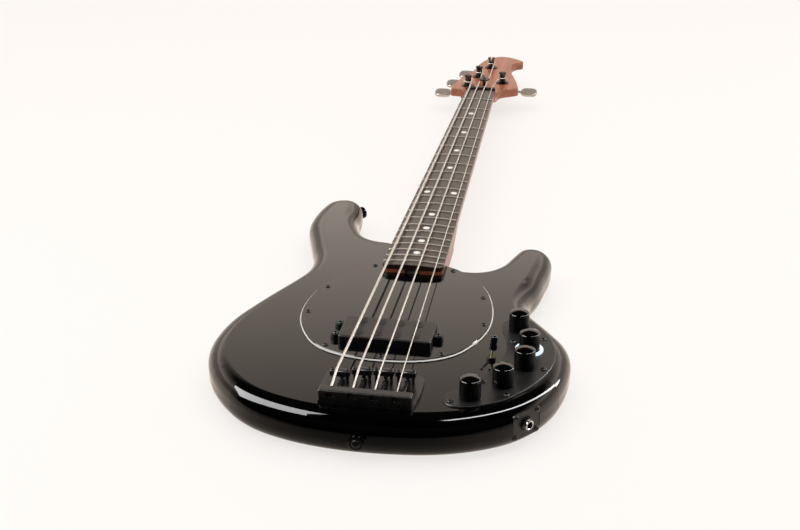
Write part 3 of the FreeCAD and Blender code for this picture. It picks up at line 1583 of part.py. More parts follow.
def machine_bushing(name):
    """Sleeve through the headstock with a washer on its face."""
    post = post_place(name)
    bore = S.post_shaft / 2 + S.running_gap
    bushing = turned(profile([
        (bore, head_back),
        (S.sleeve_size / 2, head_back),
        (S.sleeve_size / 2, head_face),
        (S.washer_size / 2, head_face),
        (S.washer_size / 2, head_face + S.washer_thick * 0.7),
        (S.washer_size / 2 - S.washer_thick * 0.3, head_face + S.washer_thick),
        (bore, head_face + S.washer_thick),
    ]))
    return bushing.translated(post)


def machine_key(name, side):
    """Key: a shaft with a worm and a flat paddle outside the headstock."""
    worm = worm_place(name)
    ear_out = S.worm_length / 2 + S.ear_thick + 4 * S.fit_gap
    inner = worm - Vec(side * (ear_out + 1), 0, 0)
    paddle_x = worm.x + side * (S.key_reach - S.paddle_length / 2)
    outer = Vec(paddle_x, worm.y, worm.z)
    shaft = rod(inner, outer, S.key_shaft)
    thread = rod(worm - Vec(S.worm_length / 2, 0, 0), worm + Vec(S.worm_length / 2, 0, 0), S.worm_size)
    grooves = []
    pitch = S.worm_length / S.worm_grooves
    root = S.worm_size - 2 * S.worm_groove_depth
    for index in range(int(S.worm_grooves)):
        start = worm + Vec(pitch * (index + 0.25) - S.worm_length / 2, 0, 0)
        ring = rod(start, start + Vec(pitch / 2, 0, 0), S.worm_size + 1)
        grooves.append(ring.cut(rod(start, start + Vec(pitch / 2, 0, 0), root)))
    outline = round_rectangle(paddle_x, worm.y, S.paddle_length, S.paddle_width, S.paddle_corner)
    paddle = prism(outline, worm.z - S.paddle_thick / 2, worm.z + S.paddle_thick / 2)
    level = [edge for edge in paddle.Edges if edge.BoundBox.ZLength < 1e-4]
    paddle = paddle.makeFillet(S.paddle_round, level)
    paddle.rotate(worm, Vec(1, 0, 0), S.key_tilt)
    return thread.cut(grooves).multiFuse([shaft, paddle]).removeSplitter()


def machine_post(name):
    """Post with a cap, a waist for the winding, a collar, a shaft and the toothed wheel at its foot."""
    floor, top = gear_heights()
    collar = head_face + S.washer_thick + S.fit_gap * 1.5
    cap = head_face + S.post_height
    cap_floor = cap - S.post_cap_height
    edge = S.post_cap_height / 4
    post = turned(profile([
        (0, floor),
        (S.wheel_gear_size / 2, floor),
        (S.wheel_gear_size / 2, top),
        (S.post_shaft / 2, top),
        (S.post_shaft / 2, collar),
        (S.post_collar / 2, collar),
        (S.post_collar / 2, collar + S.post_cap_height / 2),
        (S.post_waist / 2, collar + S.post_cap_height / 2),
        (S.post_waist / 2, cap_floor),
        (S.post_cap / 2, cap_floor),
        (S.post_cap / 2, cap - edge),
        (S.post_cap / 2 - edge, cap),
        (0, cap),
    ]))
    slot = block(0, 0, cap - S.post_slot_depth, S.post_cap + 1, S.post_slot, S.post_slot_depth + 1)
    slot.rotate(Vec(), UP, POST_SLOTS[name])
    cuts = [slot]
    for index in range(int(S.wheel_gear_teeth)):
        spoke = unit(360 * (index + 0.5) / S.wheel_gear_teeth) * (S.wheel_gear_size / 2)
        cuts.append(rod(spoke + UP * (floor - 1), spoke + UP * (top + S.gear_drop / 2), S.wheel_gear_notch))
    return post.cut(cuts).translated(post_place(name))


def make_tree():
    """Round string tree that holds two strings down behind the nut."""
    top = tree_top()
    floor = top - S.tree_cap
    hole = S.cover_screw / 2 + S.screw_gap / 2
    tree = turned(profile([
        (hole, head_face),
        (S.tree_stem / 2, head_face),
        (S.tree_stem / 2, floor),
        (S.tree_size / 2, floor + S.tree_dish),
        (S.tree_size / 2, floor + S.tree_cap / 2),
        (S.tree_size / 2 - S.tree_cap / 2, top),
        (hole, top),
    ]))
    add_node("string_tree", tree.translated(tree_place(0)))


def make_small_screws():
    """All the small screws in one sub-part."""
    rows = body_screws() + head_screws()
    add_node("small_screws", Part.makeCompound([screw(*row) for row in rows]))


def write_parts():
    """Stop on any feature or sub-part that went wrong, then write one file for each sub-part."""
    doc.recompute()
    for item in doc.Objects:
        if "Invalid" in item.State or "Error" in item.State:
            raise RuntimeError(f"{item.Name} did not recompute")
    os.makedirs("parts", exist_ok=True)
    for node in NODES:
        if node.Shape.isNull() or not node.Shape.isValid() or not node.Shape.Solids:
            raise RuntimeError(f"{node.Label} is not a sound solid")
    for node in NODES:
        node.Shape.exportStep(f"parts/{node.Label}.step")
    print(f"{len(NODES)} sub-parts written")


make_body()
make_neck()
make_truss_rod()
make_board()
make_nut()
make_strings()
make_guard()
make_bridge()
make_saddles()
make_springs()
make_pickup()
make_controls()
make_toggle()
make_circuit()
make_jack()
make_buttons()
make_neck_plate()
make_battery()
make_tuners()
make_tree()
make_small_screws()
write_parts()
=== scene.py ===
"""Looks of a four-string electric bass guitar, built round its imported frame.

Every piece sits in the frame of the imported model, in metres: the origin is on the back of the body where the
centre line crosses the saddle line, X points to the treble side, Y to the headstock and Z out of the top.
"""

from __future__ import annotations

import logging
import math
from dataclasses import dataclass, field
from enum import Enum
from typing import Any, ClassVar, Iterable, Sequence

import bmesh
import bpy
import numpy as np
from mathutils import Matrix, Vector

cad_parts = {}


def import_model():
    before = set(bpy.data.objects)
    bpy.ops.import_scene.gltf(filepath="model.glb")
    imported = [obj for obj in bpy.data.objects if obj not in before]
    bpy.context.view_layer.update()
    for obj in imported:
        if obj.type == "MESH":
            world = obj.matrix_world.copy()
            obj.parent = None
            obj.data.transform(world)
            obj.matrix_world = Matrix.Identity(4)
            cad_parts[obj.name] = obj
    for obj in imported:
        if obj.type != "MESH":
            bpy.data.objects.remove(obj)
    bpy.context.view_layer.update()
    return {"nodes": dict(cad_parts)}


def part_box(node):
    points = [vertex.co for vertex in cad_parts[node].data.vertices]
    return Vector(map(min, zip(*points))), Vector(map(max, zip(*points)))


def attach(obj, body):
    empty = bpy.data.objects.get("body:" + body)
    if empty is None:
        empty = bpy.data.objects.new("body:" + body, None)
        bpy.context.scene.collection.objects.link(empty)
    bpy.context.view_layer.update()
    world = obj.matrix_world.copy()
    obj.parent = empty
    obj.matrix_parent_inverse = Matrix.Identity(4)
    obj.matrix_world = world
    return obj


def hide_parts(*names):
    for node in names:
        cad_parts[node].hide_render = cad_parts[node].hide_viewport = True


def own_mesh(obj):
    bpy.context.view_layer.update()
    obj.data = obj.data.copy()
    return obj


log = logging.getLogger("bass_guitar")

Tree = bpy.types.NodeTree
Node = bpy.types.Node
Socket = bpy.types.NodeSocket
Shape = bmesh.types.BMesh
Profile = Sequence[tuple[float, float]]

MM = 0.001
PHOTO_WIDTH_PX = 800
FULL_TURN = 2 * math.pi
# The strings by name, with their places across the neck in string spacings.
STRING_RANKS = {"e": -1.5, "a": -0.5, "d": 0.5, "g": 1.5}
# How far each saddle's crest lies behind the saddle line.
CREST_BACK_MM = {"e": 8.2, "a": 4.7, "d": 3.1, "g": 0.3}
# Distance between two strings at the saddles.
SADDLE_SPREAD_MM = 19.6
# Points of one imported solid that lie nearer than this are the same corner.
SAME_CORNER_MM = 0.002
# The same for the corners of a spun skin.
SAME_SPUN_MM = 0.001
# Points of a string's line that lie nearer to the one before them are left out.
SAME_POINT_MM = 0.05
# Slack in metres for points on a cut and for points in a plane.
CUT_SLACK, PLANE_SLACK = 1e-7, 1e-6
# Steps in which one turn of a spring is wound.
STEPS_A_TURN = 28
# The smoothest that a smudged surface gets.
LEAST_ROUGHNESS = 0.01
# Range that most of a noise pattern lies in.
NOISE_LOW, NOISE_HIGH = 0.3, 0.7
# Radians that Blender's wave pattern covers in one unit at scale 1.
WAVE_RATE = 20


class Slot(Enum):
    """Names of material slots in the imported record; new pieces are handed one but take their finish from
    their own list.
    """

    HARDWARE = "black_metal"
    STRING = "string_steel"
    SPRING = "plain_steel"
    JACK = "jack_chrome"
    LEVER = "lever_brass"


class Grain(Enum):
    """Axis that a stretched pattern runs along."""

    X = 0
    Y = 1
    Z = 2


def linear(colour: str) -> tuple[float, float, float, float]:
    """Turn an sRGB hex colour into linear red, green, blue and alpha.

    Args:
        colour: six hex digits after a hash.

    Returns:
        The four channels, alpha 1.
    """
    channels = [int(colour[place:place + 2], 16) / 255 for place in (1, 3, 5)]
    red, green, blue = (c / 12.92 if c <= 0.04045 else ((c + 0.055) / 1.055) ** 2.4 for c in channels)
    return red, green, blue, 1.0


def per_mm(size: float) -> float:
    """Texture scale whose features are about size millimetres across."""
    return 1 / (size * MM)


def in_metres(profile: Profile) -> list[tuple[float, float]]:
    """Turn a profile of radii and heights in millimetres into metres."""
    return [(radius * MM, height * MM) for radius, height in profile]


def heading_of(degrees: float) -> Vector:
    """Level unit vector with a heading in degrees, counted from X to Y."""
    return Vector((math.cos(math.radians(degrees)), math.sin(math.radians(degrees)), 0))


def add_node(tree: Tree, kind: str, inputs: dict[Any, Any] | None = None, **settings: Any) -> Node:
    """Add a shader node with its settings and links.

    Args:
        tree: the node tree to add to.
        kind: Blender's name of the node type.
        inputs: socket name or index to a value, or to the output socket that feeds it.
        settings: properties of the node itself.

    Returns:
        The new node.
    """
    node = tree.nodes.new(kind)
    for name, value in settings.items():
        setattr(node, name, value)
    for socket, value in (inputs or {}).items():
        if isinstance(value, Socket):
            tree.links.new(value, node.inputs[socket])
        else:
            node.inputs[socket].default_value = value
    return node


def reckon(tree: Tree, operation: str, *values: float | Socket) -> Socket:
    """Add a math node.

    Args:
        tree: the node tree to add to.
        operation: what it reckons.
        values: its numbers, or the output sockets that give them.

    Returns:
        The output socket with the result.
    """
    return add_node(tree, "ShaderNodeMath", dict(enumerate(values)), operation=operation).outputs["Value"]


def noise(tree: Tree, place: Socket, size: float, detail: float, **more: float) -> Socket:
    """Add a noise pattern.

    Args:
        tree: the node tree to add to.
        place: coordinates in metres.
        size: size of its features in millimetres.
        detail: number of finer layers.
        more: other inputs of the node.

    Returns:
        The output socket with the pattern, 0 to 1.
    """
    inputs = {"Vector": place, "Scale": per_mm(size), "Detail": detail, **more}
    return add_node(tree, "ShaderNodeTexNoise", inputs).outputs["Fac"]


def ramp(tree: Tree, value: Socket, start: float, end: float, low: float = 0.0, high: float = 1.0) -> Socket:
    """Add a node that maps the range from start to end onto low to high, and stops there."""
    inputs = {"Value": value, "From Min": start, "From Max": end, "To Min": low, "To Max": high}
    return add_node(tree, "ShaderNodeMapRange", inputs).outputs["Result"]


@dataclass(frozen=True)
class Finish:
    """A surface with one colour and a fine texture that breaks up its gloss.

    Attributes:
        name: name of the material.
        colour: base colour in sRGB hex.
        roughness: roughness of the clean surface.
        metallic: 1 for bare metal, 0 for the rest.
        ior: index of refraction.
        grit_mm: size of the fine texture.
        grit_height_mm: height of the fine texture.
        smear: how much the roughness wanders.
        smear_mm: size of the patches in which it wanders.
    """

    name: str
    colour: str
    roughness: float
    metallic: float = 0.0
    ior: float = 1.5
    grit_mm: float = 0.8
    grit_height_mm: float = 0.01
    smear: float = 0.06
    smear_mm: float = 18.0

    def material(self) -> bpy.types.Material:
        """Return the material, made on its first use."""
        made = bpy.data.materials.get(self.name)
        if made:
            return made
        made = bpy.data.materials.new(self.name)
        made.use_nodes = True
        tree = made.node_tree
        shader = tree.nodes["Principled BSDF"]
        shader.inputs["Base Color"].default_value = linear(self.colour)
        shader.inputs["Metallic"].default_value = self.metallic
        shader.inputs["Roughness"].default_value = self.roughness
        if not self.metallic:
            shader.inputs["IOR"].default_value = self.ior
        self.texture(tree, shader, self.place(tree))
        return made

    def place(self, tree: Tree) -> Socket:
        """Coordinates that the texture reads: the place on the object."""
        return add_node(tree, "ShaderNodeTexCoord").outputs["Object"]

    def texture(self, tree: Tree, shader: Node, place: Socket) -> None:
        """Link the finish's patterns to its shader.

        Args:
            tree: the material's node tree.
            shader: the Principled shader.
            place: coordinates in metres.
        """
        self.smudge(tree, shader, place)
        self.raise_by(tree, shader, noise(tree, place, self.grit_mm, 3.0), self.grit_height_mm)

    def smudge(self, tree: Tree, shader: Node, place: Socket) -> None:
        """Let the roughness wander in soft patches, as handling leaves it."""
        low = max(self.roughness - self.smear / 2, LEAST_ROUGHNESS)
        high = self.roughness + self.smear / 2
        patch = noise(tree, place, self.smear_mm, 4.0)
        tree.links.new(ramp(tree, patch, NOISE_LOW, NOISE_HIGH, low, high), shader.inputs["Roughness"])

    def raise_by(self, tree: Tree, shader: Node, height: Socket, size: float) -> None:
        """Use a pattern as height.

        Args:
            tree: the material's node tree.
            shader: the Principled shader.
            height: the pattern, 0 to 1.
            size: full height in millimetres.
        """
        bump = add_node(tree, "ShaderNodeBump", {"Height": height, "Distance": size * MM, "Strength": 1.0})
        tree.links.new(bump.outputs["Normal"], shader.inputs["Normal"])

    def tint(self, tree: Tree, shader: Node, share: Socket, second: str, target: str = "Base Color") -> None:
        """Mix a second colour into the finish's own by a pattern.

        Args:
            tree: the material's node tree.
            shader: the Principled shader.
            share: the pattern, 0 to 1.
            second: the other colour in sRGB hex.
            target: input of the shader that takes the mixture.
        """
        colours = {"Factor": share, "A": linear(self.colour), "B": linear(second)}
        mix = add_node(tree, "ShaderNodeMix", colours, data_type="RGBA")
        tree.links.new(mix.outputs["Result"], shader.inputs[target])


@dataclass(frozen=True)
class Wood(Finish):
    """Planed wood: long fibres, growth bands and small pores along one axis.

    Attributes:
        second: colour of the darker bands.
        along: axis that the fibres run along.
        fibre_mm: width of a fibre.
        band_mm: width of a growth band.
        stretch: how slowly the pattern changes along the fibres.
        mix: range of the pattern over which the darker colour comes in.
    """

    second: str = "#000000"
    along: Grain = Grain.Y
    fibre_mm: float = 0.9
    band_mm: float = 7.0
    stretch: float = 0.045
    mix: tuple[float, float] = (0.14, 0.38)

    def texture(self, tree: Tree, shader: Node, place: Socket) -> None:
        """Link bands, fibres and pores to the shader."""
        scale = Vector((1.0, 1.0, 1.0))
        scale[self.along.value] = self.stretch
        grain = add_node(tree, "ShaderNodeMapping", {"Vector": place, "Scale": scale}).outputs["Vector"]
        band = noise(tree, grain, self.band_mm, 5.0, Distortion=0.6)
        fibre = noise(tree, grain, self.fibre_mm, 4.0, Roughness=0.7)
        both = reckon(tree, "MULTIPLY", band, fibre)
        self.tint(tree, shader, ramp(tree, both, *self.mix), self.second)
        self.smudge(tree, shader, place)
        self.raise_by(tree, shader, fibre, self.grit_height_mm)


@dataclass(frozen=True)
class Pearl(Finish):
    """Polished shell: cloudy cells in two pale tints.

    Attributes:
        second: colour of the deeper cells.
        cell_mm: size of a cell.
        mix: range of the pattern over which the deeper colour comes in.
    """

    second: str = "#ffffff"
    cell_mm: float = 3.0
    mix: tuple[float, float] = (0.35, 0.65)

    def texture(self, tree: Tree, shader: Node, place: Socket) -> None:
        """Link the cells to the shader."""
        cloud = noise(tree, place, self.cell_mm, 2.0, Distortion=2.5)
        self.tint(tree, shader, ramp(tree, cloud, *self.mix), self.second)
        self.smudge(tree, shader, place)


@dataclass(frozen=True)
class WoundWire(Finish):
    """Round wire wound on a core, read from the string's own UV map: V is the length in metres.

    Attributes:
        wrap_mm: pitch of the wrap. The real one is about a third of this, too fine to show in the picture.
        wrap_height_mm: depth between two turns of the wrap.
        groove_painted_shade: colour painted between two turns as painted shade.
    """

    wrap_mm: float = 1.5
    wrap_height_mm: float = 0.12
    groove_painted_shade: str = "#8d877c"

    def place(self, tree: Tree) -> Socket:
        """Coordinates that run with the string."""
        return add_node(tree, "ShaderNodeUVMap", uv_map=StringSet.UV_NAME).outputs["UV"]

    def texture(self, tree: Tree, shader: Node, place: Socket) -> None:
        """Link the slanted turns of the wrap to the shader, with painted shade darkening the colour between
        them.
        """
        parts = add_node(tree, "ShaderNodeSeparateXYZ", {"Vector": place})
        turns = reckon(tree, "MULTIPLY", parts.outputs["Y"], FULL_TURN * per_mm(self.wrap_mm))
        slant = reckon(tree, "MULTIPLY", parts.outputs["X"], FULL_TURN)
        wave = reckon(tree, "SINE", reckon(tree, "ADD", turns, slant))
        height = ramp(tree, wave, -1.0, 1.0)
        # Painted shade: the colour darkens towards the dip between two turns.
        low = reckon(tree, "SUBTRACT", 1.0, height)
        self.tint(tree, shader, reckon(tree, "POWER", low, 3.0), self.groove_painted_shade)
        self.raise_by(tree, shader, height, self.wrap_height_mm)


@dataclass(frozen=True)
class Turned(Finish):
    """Lathe-cut metal: fine rings that follow each other along one axis.

    Attributes:
        ring_mm: distance between two rings, divided by 2 pi.
        axis: axis that the rings follow each other along.
    """

    ring_mm: float = 0.6
    axis: Grain = Grain.Z

    def texture(self, tree: Tree, shader: Node, place: Socket) -> None:
        """Link the rings to the shader."""
        wave = add_node(tree, "ShaderNodeTexWave", {
            "Vector": place, "Scale": per_mm(self.ring_mm) / WAVE_RATE, "Distortion": 1.5, "Detail": 2.0,
        }, bands_direction=self.axis.name)
        self.smudge(tree, shader, place)
        self.raise_by(tree, shader, wave.outputs["Fac"], self.grit_height_mm)


@dataclass(frozen=True)
class Glow(Finish):
    """Frosted light guide lit from below.

    Attributes:
        strength: light given off.
        pale: colour of the light in the paler grains.
    """

    strength: float = 3.0
    pale: str = "#e9f6ff"

    def texture(self, tree: Tree, shader: Node, place: Socket) -> None:
        """Light the surface and give it a frosted grain."""
        shader.inputs["Emission Strength"].default_value = self.strength
        grain = noise(tree, place, self.smear_mm, 2.0)
        self.tint(tree, shader, grain, self.pale, "Emission Color")
        self.raise_by(tree, shader, grain, self.grit_height_mm)


# Polyester lacquer, sprayed and buffed, on body and switch: a deep black mirror with a faint orange peel.
BLACK_LACQUER = Finish(
    "buffed_black_lacquer", "#020202", 0.05, ior=1.4, grit_mm=9.0, grit_height_mm=0.002,
    smear=0.03, smear_mm=60.0,
)
# Laminated guard sheet: pressed plastic, a little softer in gloss than the lacquer round it.
GUARD_SHEET = Finish(
    "black_guard_laminate", "#030303", 0.09, ior=1.42, grit_mm=4.0, grit_height_mm=0.002,
    smear=0.04, smear_mm=30.0,
)
# White core ply of the guard: cut plastic, bare in the bevel, so it is dull and bright.
WHITE_PLY = Finish("white_guard_ply", "#faf7f1", 0.85, ior=1.4, grit_mm=0.6)
# Black plated steel and zinc: satin, with the fine grit of the blasted metal below.
SATIN_PLATING = Finish("satin_black_plating", "#0b0a09", 0.34, ior=1.6, grit_mm=0.7, grit_height_mm=0.012)
# Black nickel on cast metal: a half-metal gloss over a pale grey colour, which paints a sheen of a bright wall
# onto the keys under any light.
BLACK_NICKEL_PAINTED_SHEEN = Finish(
    "black_nickel", "#bdb3a8", 0.28, metallic=0.55, grit_mm=1.2, grit_height_mm=0.004, smear=0.08,
)
# The same plating on the turned posts and washers, thicker and darker.
DARK_NICKEL = Finish("dark_black_nickel", "#3b3633", 0.26, metallic=1.0, grit_mm=1.0, grit_height_mm=0.004)
# Powder-coated plate: duller, with a slightly pebbled skin.
POWDER_COAT = Finish("black_powder_coat", "#0d0c0b", 0.42, grit_mm=1.4, grit_height_mm=0.012)
# Polished black plating on the knobs and strap buttons: a tight dark gloss.
POLISHED_PLATING = Finish(
    "polished_black_plating", "#020202", 0.04, ior=1.5, grit_mm=3.0, grit_height_mm=0.001, smear=0.05,
)
# The sides of the knobs below their polished caps: a black that takes fingers and hardly shines.
SATIN_SIDE = Finish("satin_black_knob_side", "#020202", 0.4, ior=1.2, grit_mm=0.8, grit_height_mm=0.002)
# Heat-treated maple with a satin oil finish: caramel brown with darker fibres.
ROASTED_MAPLE = Wood("roasted_maple", "#b66d4e", 0.34, second="#88482e", grit_height_mm=0.01)
# Oiled ebony: brown black with open pores, rubbed to a soft gloss by hands.
EBONY = Wood("oiled_ebony", "#35261d", 0.32, second="#1c120d", fibre_mm=0.6, band_mm=5.0, grit_height_mm=0.03)
# Nickel-silver fret wire: filed and polished along its length.
FRET_STEEL = Turned(
    "polished_fret_steel", "#c2bbae", 0.3, metallic=0.6, ring_mm=2.0, axis=Grain.X, grit_height_mm=0.004,
)
# Shell dots: polished pearl with soft clouds.
SHELL = Pearl("white_shell", "#f3f3ee", 0.2, second="#cfd6d6")
# Graphite-filled nut: moulded, dull and black.
NUT_GRAPHITE = Finish("black_nut_composite", "#0c0c0c", 0.5, grit_mm=0.5, grit_height_mm=0.02)
# Nickel-plated steel wrap: pale, with painted shade as a dark line between the turns.
NICKEL_WRAP = WoundWire("nickel_round_wound", "#f1ece4", 0.42, metallic=0.75)
# Turned brass of the string balls: a darker brown yellow, with fine tool rings.
BRASS = Turned("turned_brass", "#8a5a2e", 0.34, metallic=1.0)
# Nickelled brass of the switch's blade: pale and yellowish.
PALE_BRASS = Turned("pale_brass", "#ece2b4", 0.3, metallic=0.6)
# Painted shade for the open slot of the switch: a dull, quite black sheet where the slot's shadow falls.
SLOT_PAINTED_SHADE = Finish("black_slot_fibre", "#020202", 0.9, ior=1.3, grit_mm=0.4, grit_height_mm=0.02)
# Zinc-plated steel: cool grey and slightly cloudy.
ZINC = Turned("zinc_plated_steel", "#a9a8a3", 0.34, metallic=1.0)
# Blackened steel: dark grey with turned rings.
DARK_STEEL = Turned("blackened_pole_steel", "#3a3938", 0.38, metallic=1.0)
# Bright chrome: a clear mirror.
CHROME = Turned("bright_chrome", "#dcdcdc", 0.12, metallic=1.0, grit_height_mm=0.003)
# Injection-moulded pickup case: satin with a fine spark-eroded grain.
MOULDED_CASE = Finish("moulded_black_abs", "#0d0b0a", 0.36, grit_mm=0.9, grit_height_mm=0.02)
# Moulded lever tip: polished black plastic.
MOULDED_TIP = Finish("moulded_black_tip", "#040404", 0.12, grit_mm=2.0, grit_height_mm=0.002)
# Frosted acrylic ring, lit from below: pale blue with cool white clouds.
RING_LIGHT = Glow("lit_ring", "#a9d3f5", 0.4, smear_mm=4.0, strength=1.15)
# Enamelled copper winding: red brown with the lines of the turns.
COIL_WIRE = Turned("enamelled_copper", "#7a3416", 0.3, metallic=1.0, ring_mm=0.9)
# Glass-fibre circuit laminate: green, with the weave under the varnish.
LAMINATE = Finish("green_circuit_laminate", "#12492e", 0.45, grit_mm=1.5, grit_height_mm=0.03)
# Battery sleeve: drawn steel with a plain dark print.
SLEEVE = Finish("printed_battery_sleeve", "#2a2b2e", 0.3, grit_mm=1.0)


@dataclass
class SubAssembly:
    """Base of the sub-assemblies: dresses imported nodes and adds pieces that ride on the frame.

    Attributes:
        nodes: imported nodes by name.
        root: name of the body that carries everything that does not move.
    """

    nodes: dict[str, bpy.types.Object]
    root: str = "instrument"

    def build(self) -> None:
        """Make and dress the sub-assembly's pieces."""
        raise NotImplementedError

    def dress(self, finish: Finish, *names: str) -> None:
        """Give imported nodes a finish.

        Args:
            finish: the finish of all of them.
            names: the nodes' names.
        """
        for name in names:
            slots = self.nodes[name].data.materials
            slots.clear()
            slots.append(finish.material())
            log.info("dressed %s in %s", name, finish.name)

    def piece(
        self, name: str, shape: Shape, finishes: Sequence[Finish], body: str, stands_for: Iterable[str] = (),
        slot: Slot = Slot.HARDWARE, sharp: float = 35.0,
    ) -> bpy.types.Object:
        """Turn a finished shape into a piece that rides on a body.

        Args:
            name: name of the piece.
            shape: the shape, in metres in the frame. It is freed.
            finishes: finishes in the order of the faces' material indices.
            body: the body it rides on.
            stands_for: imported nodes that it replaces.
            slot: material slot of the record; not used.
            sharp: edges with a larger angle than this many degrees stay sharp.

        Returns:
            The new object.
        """
        bmesh.ops.remove_doubles(shape, verts=shape.verts, dist=SAME_CORNER_MM * MM)
        bmesh.ops.recalc_face_normals(shape, faces=shape.faces)
        mesh = bpy.data.meshes.new(name)
        shape.to_mesh(mesh)
        shape.free()
        mesh.shade_smooth()
        mesh.set_sharp_from_angle(angle=math.radians(sharp))
        made = bpy.data.objects.new(name, mesh)
        bpy.context.scene.collection.objects.link(made)
        for finish in finishes:
            mesh.materials.append(finish.material())
        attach(made, body)
        if stands_for:
            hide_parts(*stands_for)
        log.info("made %s with %d faces on %s", name, len(mesh.polygons), body)
        return made

    @staticmethod
    def spun(shape: Shape, profile: Profile, steps: int, index: int = 0) -> list[bmesh.types.BMVert]:
        """Spin a half-section about Z into a closed skin.

        Args:
            shape: the mesh to add to.
            profile: radius and height of each corner, in metres.
            steps: number of steps round.
            index: material index of the new faces.

        Returns:
            The new vertices.
        """
        before = set(shape.verts)
        corners = [shape.verts.new((radius, 0.0, height)) for radius, height in profile]
        edges = [shape.edges.new(pair) for pair in zip(corners, corners[1:])]
        bmesh.ops.spin(
            shape, geom=corners + edges, cent=(0, 0, 0), axis=(0, 0, 1), angle=FULL_TURN, steps=steps,
            use_merge=True,
        )
        fresh = [vert for vert in shape.verts if vert not in before]
        bmesh.ops.remove_doubles(shape, verts=fresh, dist=SAME_SPUN_MM * MM)
        made = [vert for vert in shape.verts if vert not in before]
        for face in {face for vert in made for face in vert.link_faces}:
            face.material_index = index
        return made

    @staticmethod
    def islands(thing: bpy.types.Object) -> list[list[Vector]]:
        """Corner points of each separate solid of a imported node.

        Args:
            thing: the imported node.

        Returns:
            One list of points for each solid.
        """
        copy = bmesh.new()
        copy.from_mesh(thing.data)
        bmesh.ops.remove_doubles(copy, verts=copy.verts, dist=SAME_CORNER_MM * MM)
        left = set(copy.verts)
        found = []
        while left:
            front = [left.pop()]
            solid = []
            while front:
                vert = front.pop()
                solid.append(vert.co.copy())
                beside = [edge.other_vert(vert) for edge in vert.link_edges]
                fresh = [other for other in beside if other in left]
                left.difference_update(fresh)
                front.extend(fresh)
            found.append(solid)
        copy.free()
        return found


def frame_along(origin: Vector, way: Vector, axis: str = "Z") -> Matrix:
    """Frame at origin with one axis, Z or -Z, along way."""
    return Matrix.Translation(origin) @ way.to_track_quat(axis, "Y").to_matrix().to_4x4()


def close_ends(shape: Shape, sides: int) -> None:
    """Fill the open ends of a swept section that has so many sides."""
    rims = [edge for edge in shape.edges if edge.is_boundary]
    bmesh.ops.holes_fill(shape, edges=rims, sides=sides)


@dataclass
class BodyShell(SubAssembly):
    """Lacquered body with its guard, plates, strap buttons and battery box."""

    def build(self) -> None:
        """Dress the body and what is screwed to it."""
        self.dress(BLACK_LACQUER, "body")
        self.dress(GUARD_SHEET, "pickguard")
        self.dress(WHITE_PLY, "pickguard_core")
        self.dress(POWDER_COAT, "control_plate", "jack_plate")
        self.dress(POLISHED_PLATING, "strap_buttons")
        self.dress(SATIN_PLATING, "neck_plate")
        self.dress(MOULDED_CASE, "battery_box", "battery_lid")
        self.dress(SLEEVE, "battery")
        self.dress(LAMINATE, "circuit_board")


@dataclass
class NeckAndHead(SubAssembly):
    """Neck, fingerboard, nut, string tree and the fixed parts of the tuning machines."""

    def build(self) -> None:
        """Dress the neck and the fixed metal on it."""
        self.dress(ROASTED_MAPLE, "neck")
        self.dress(EBONY, "fingerboard")
        self.dress(FRET_STEEL, "frets")
        self.dress(SHELL, "position_dots")
        self.dress(NUT_GRAPHITE, "nut")
        self.dress(DARK_NICKEL, "string_tree", "tuner_plates", "tuner_bushings")
        self.dress(ZINC, "truss_rod", "truss_wheel")
        for name in STRING_RANKS:
            self.dress(BLACK_NICKEL_PAINTED_SHEEN, f"tuner_key_{name}")
            self.dress(DARK_NICKEL, f"tuner_post_{name}")


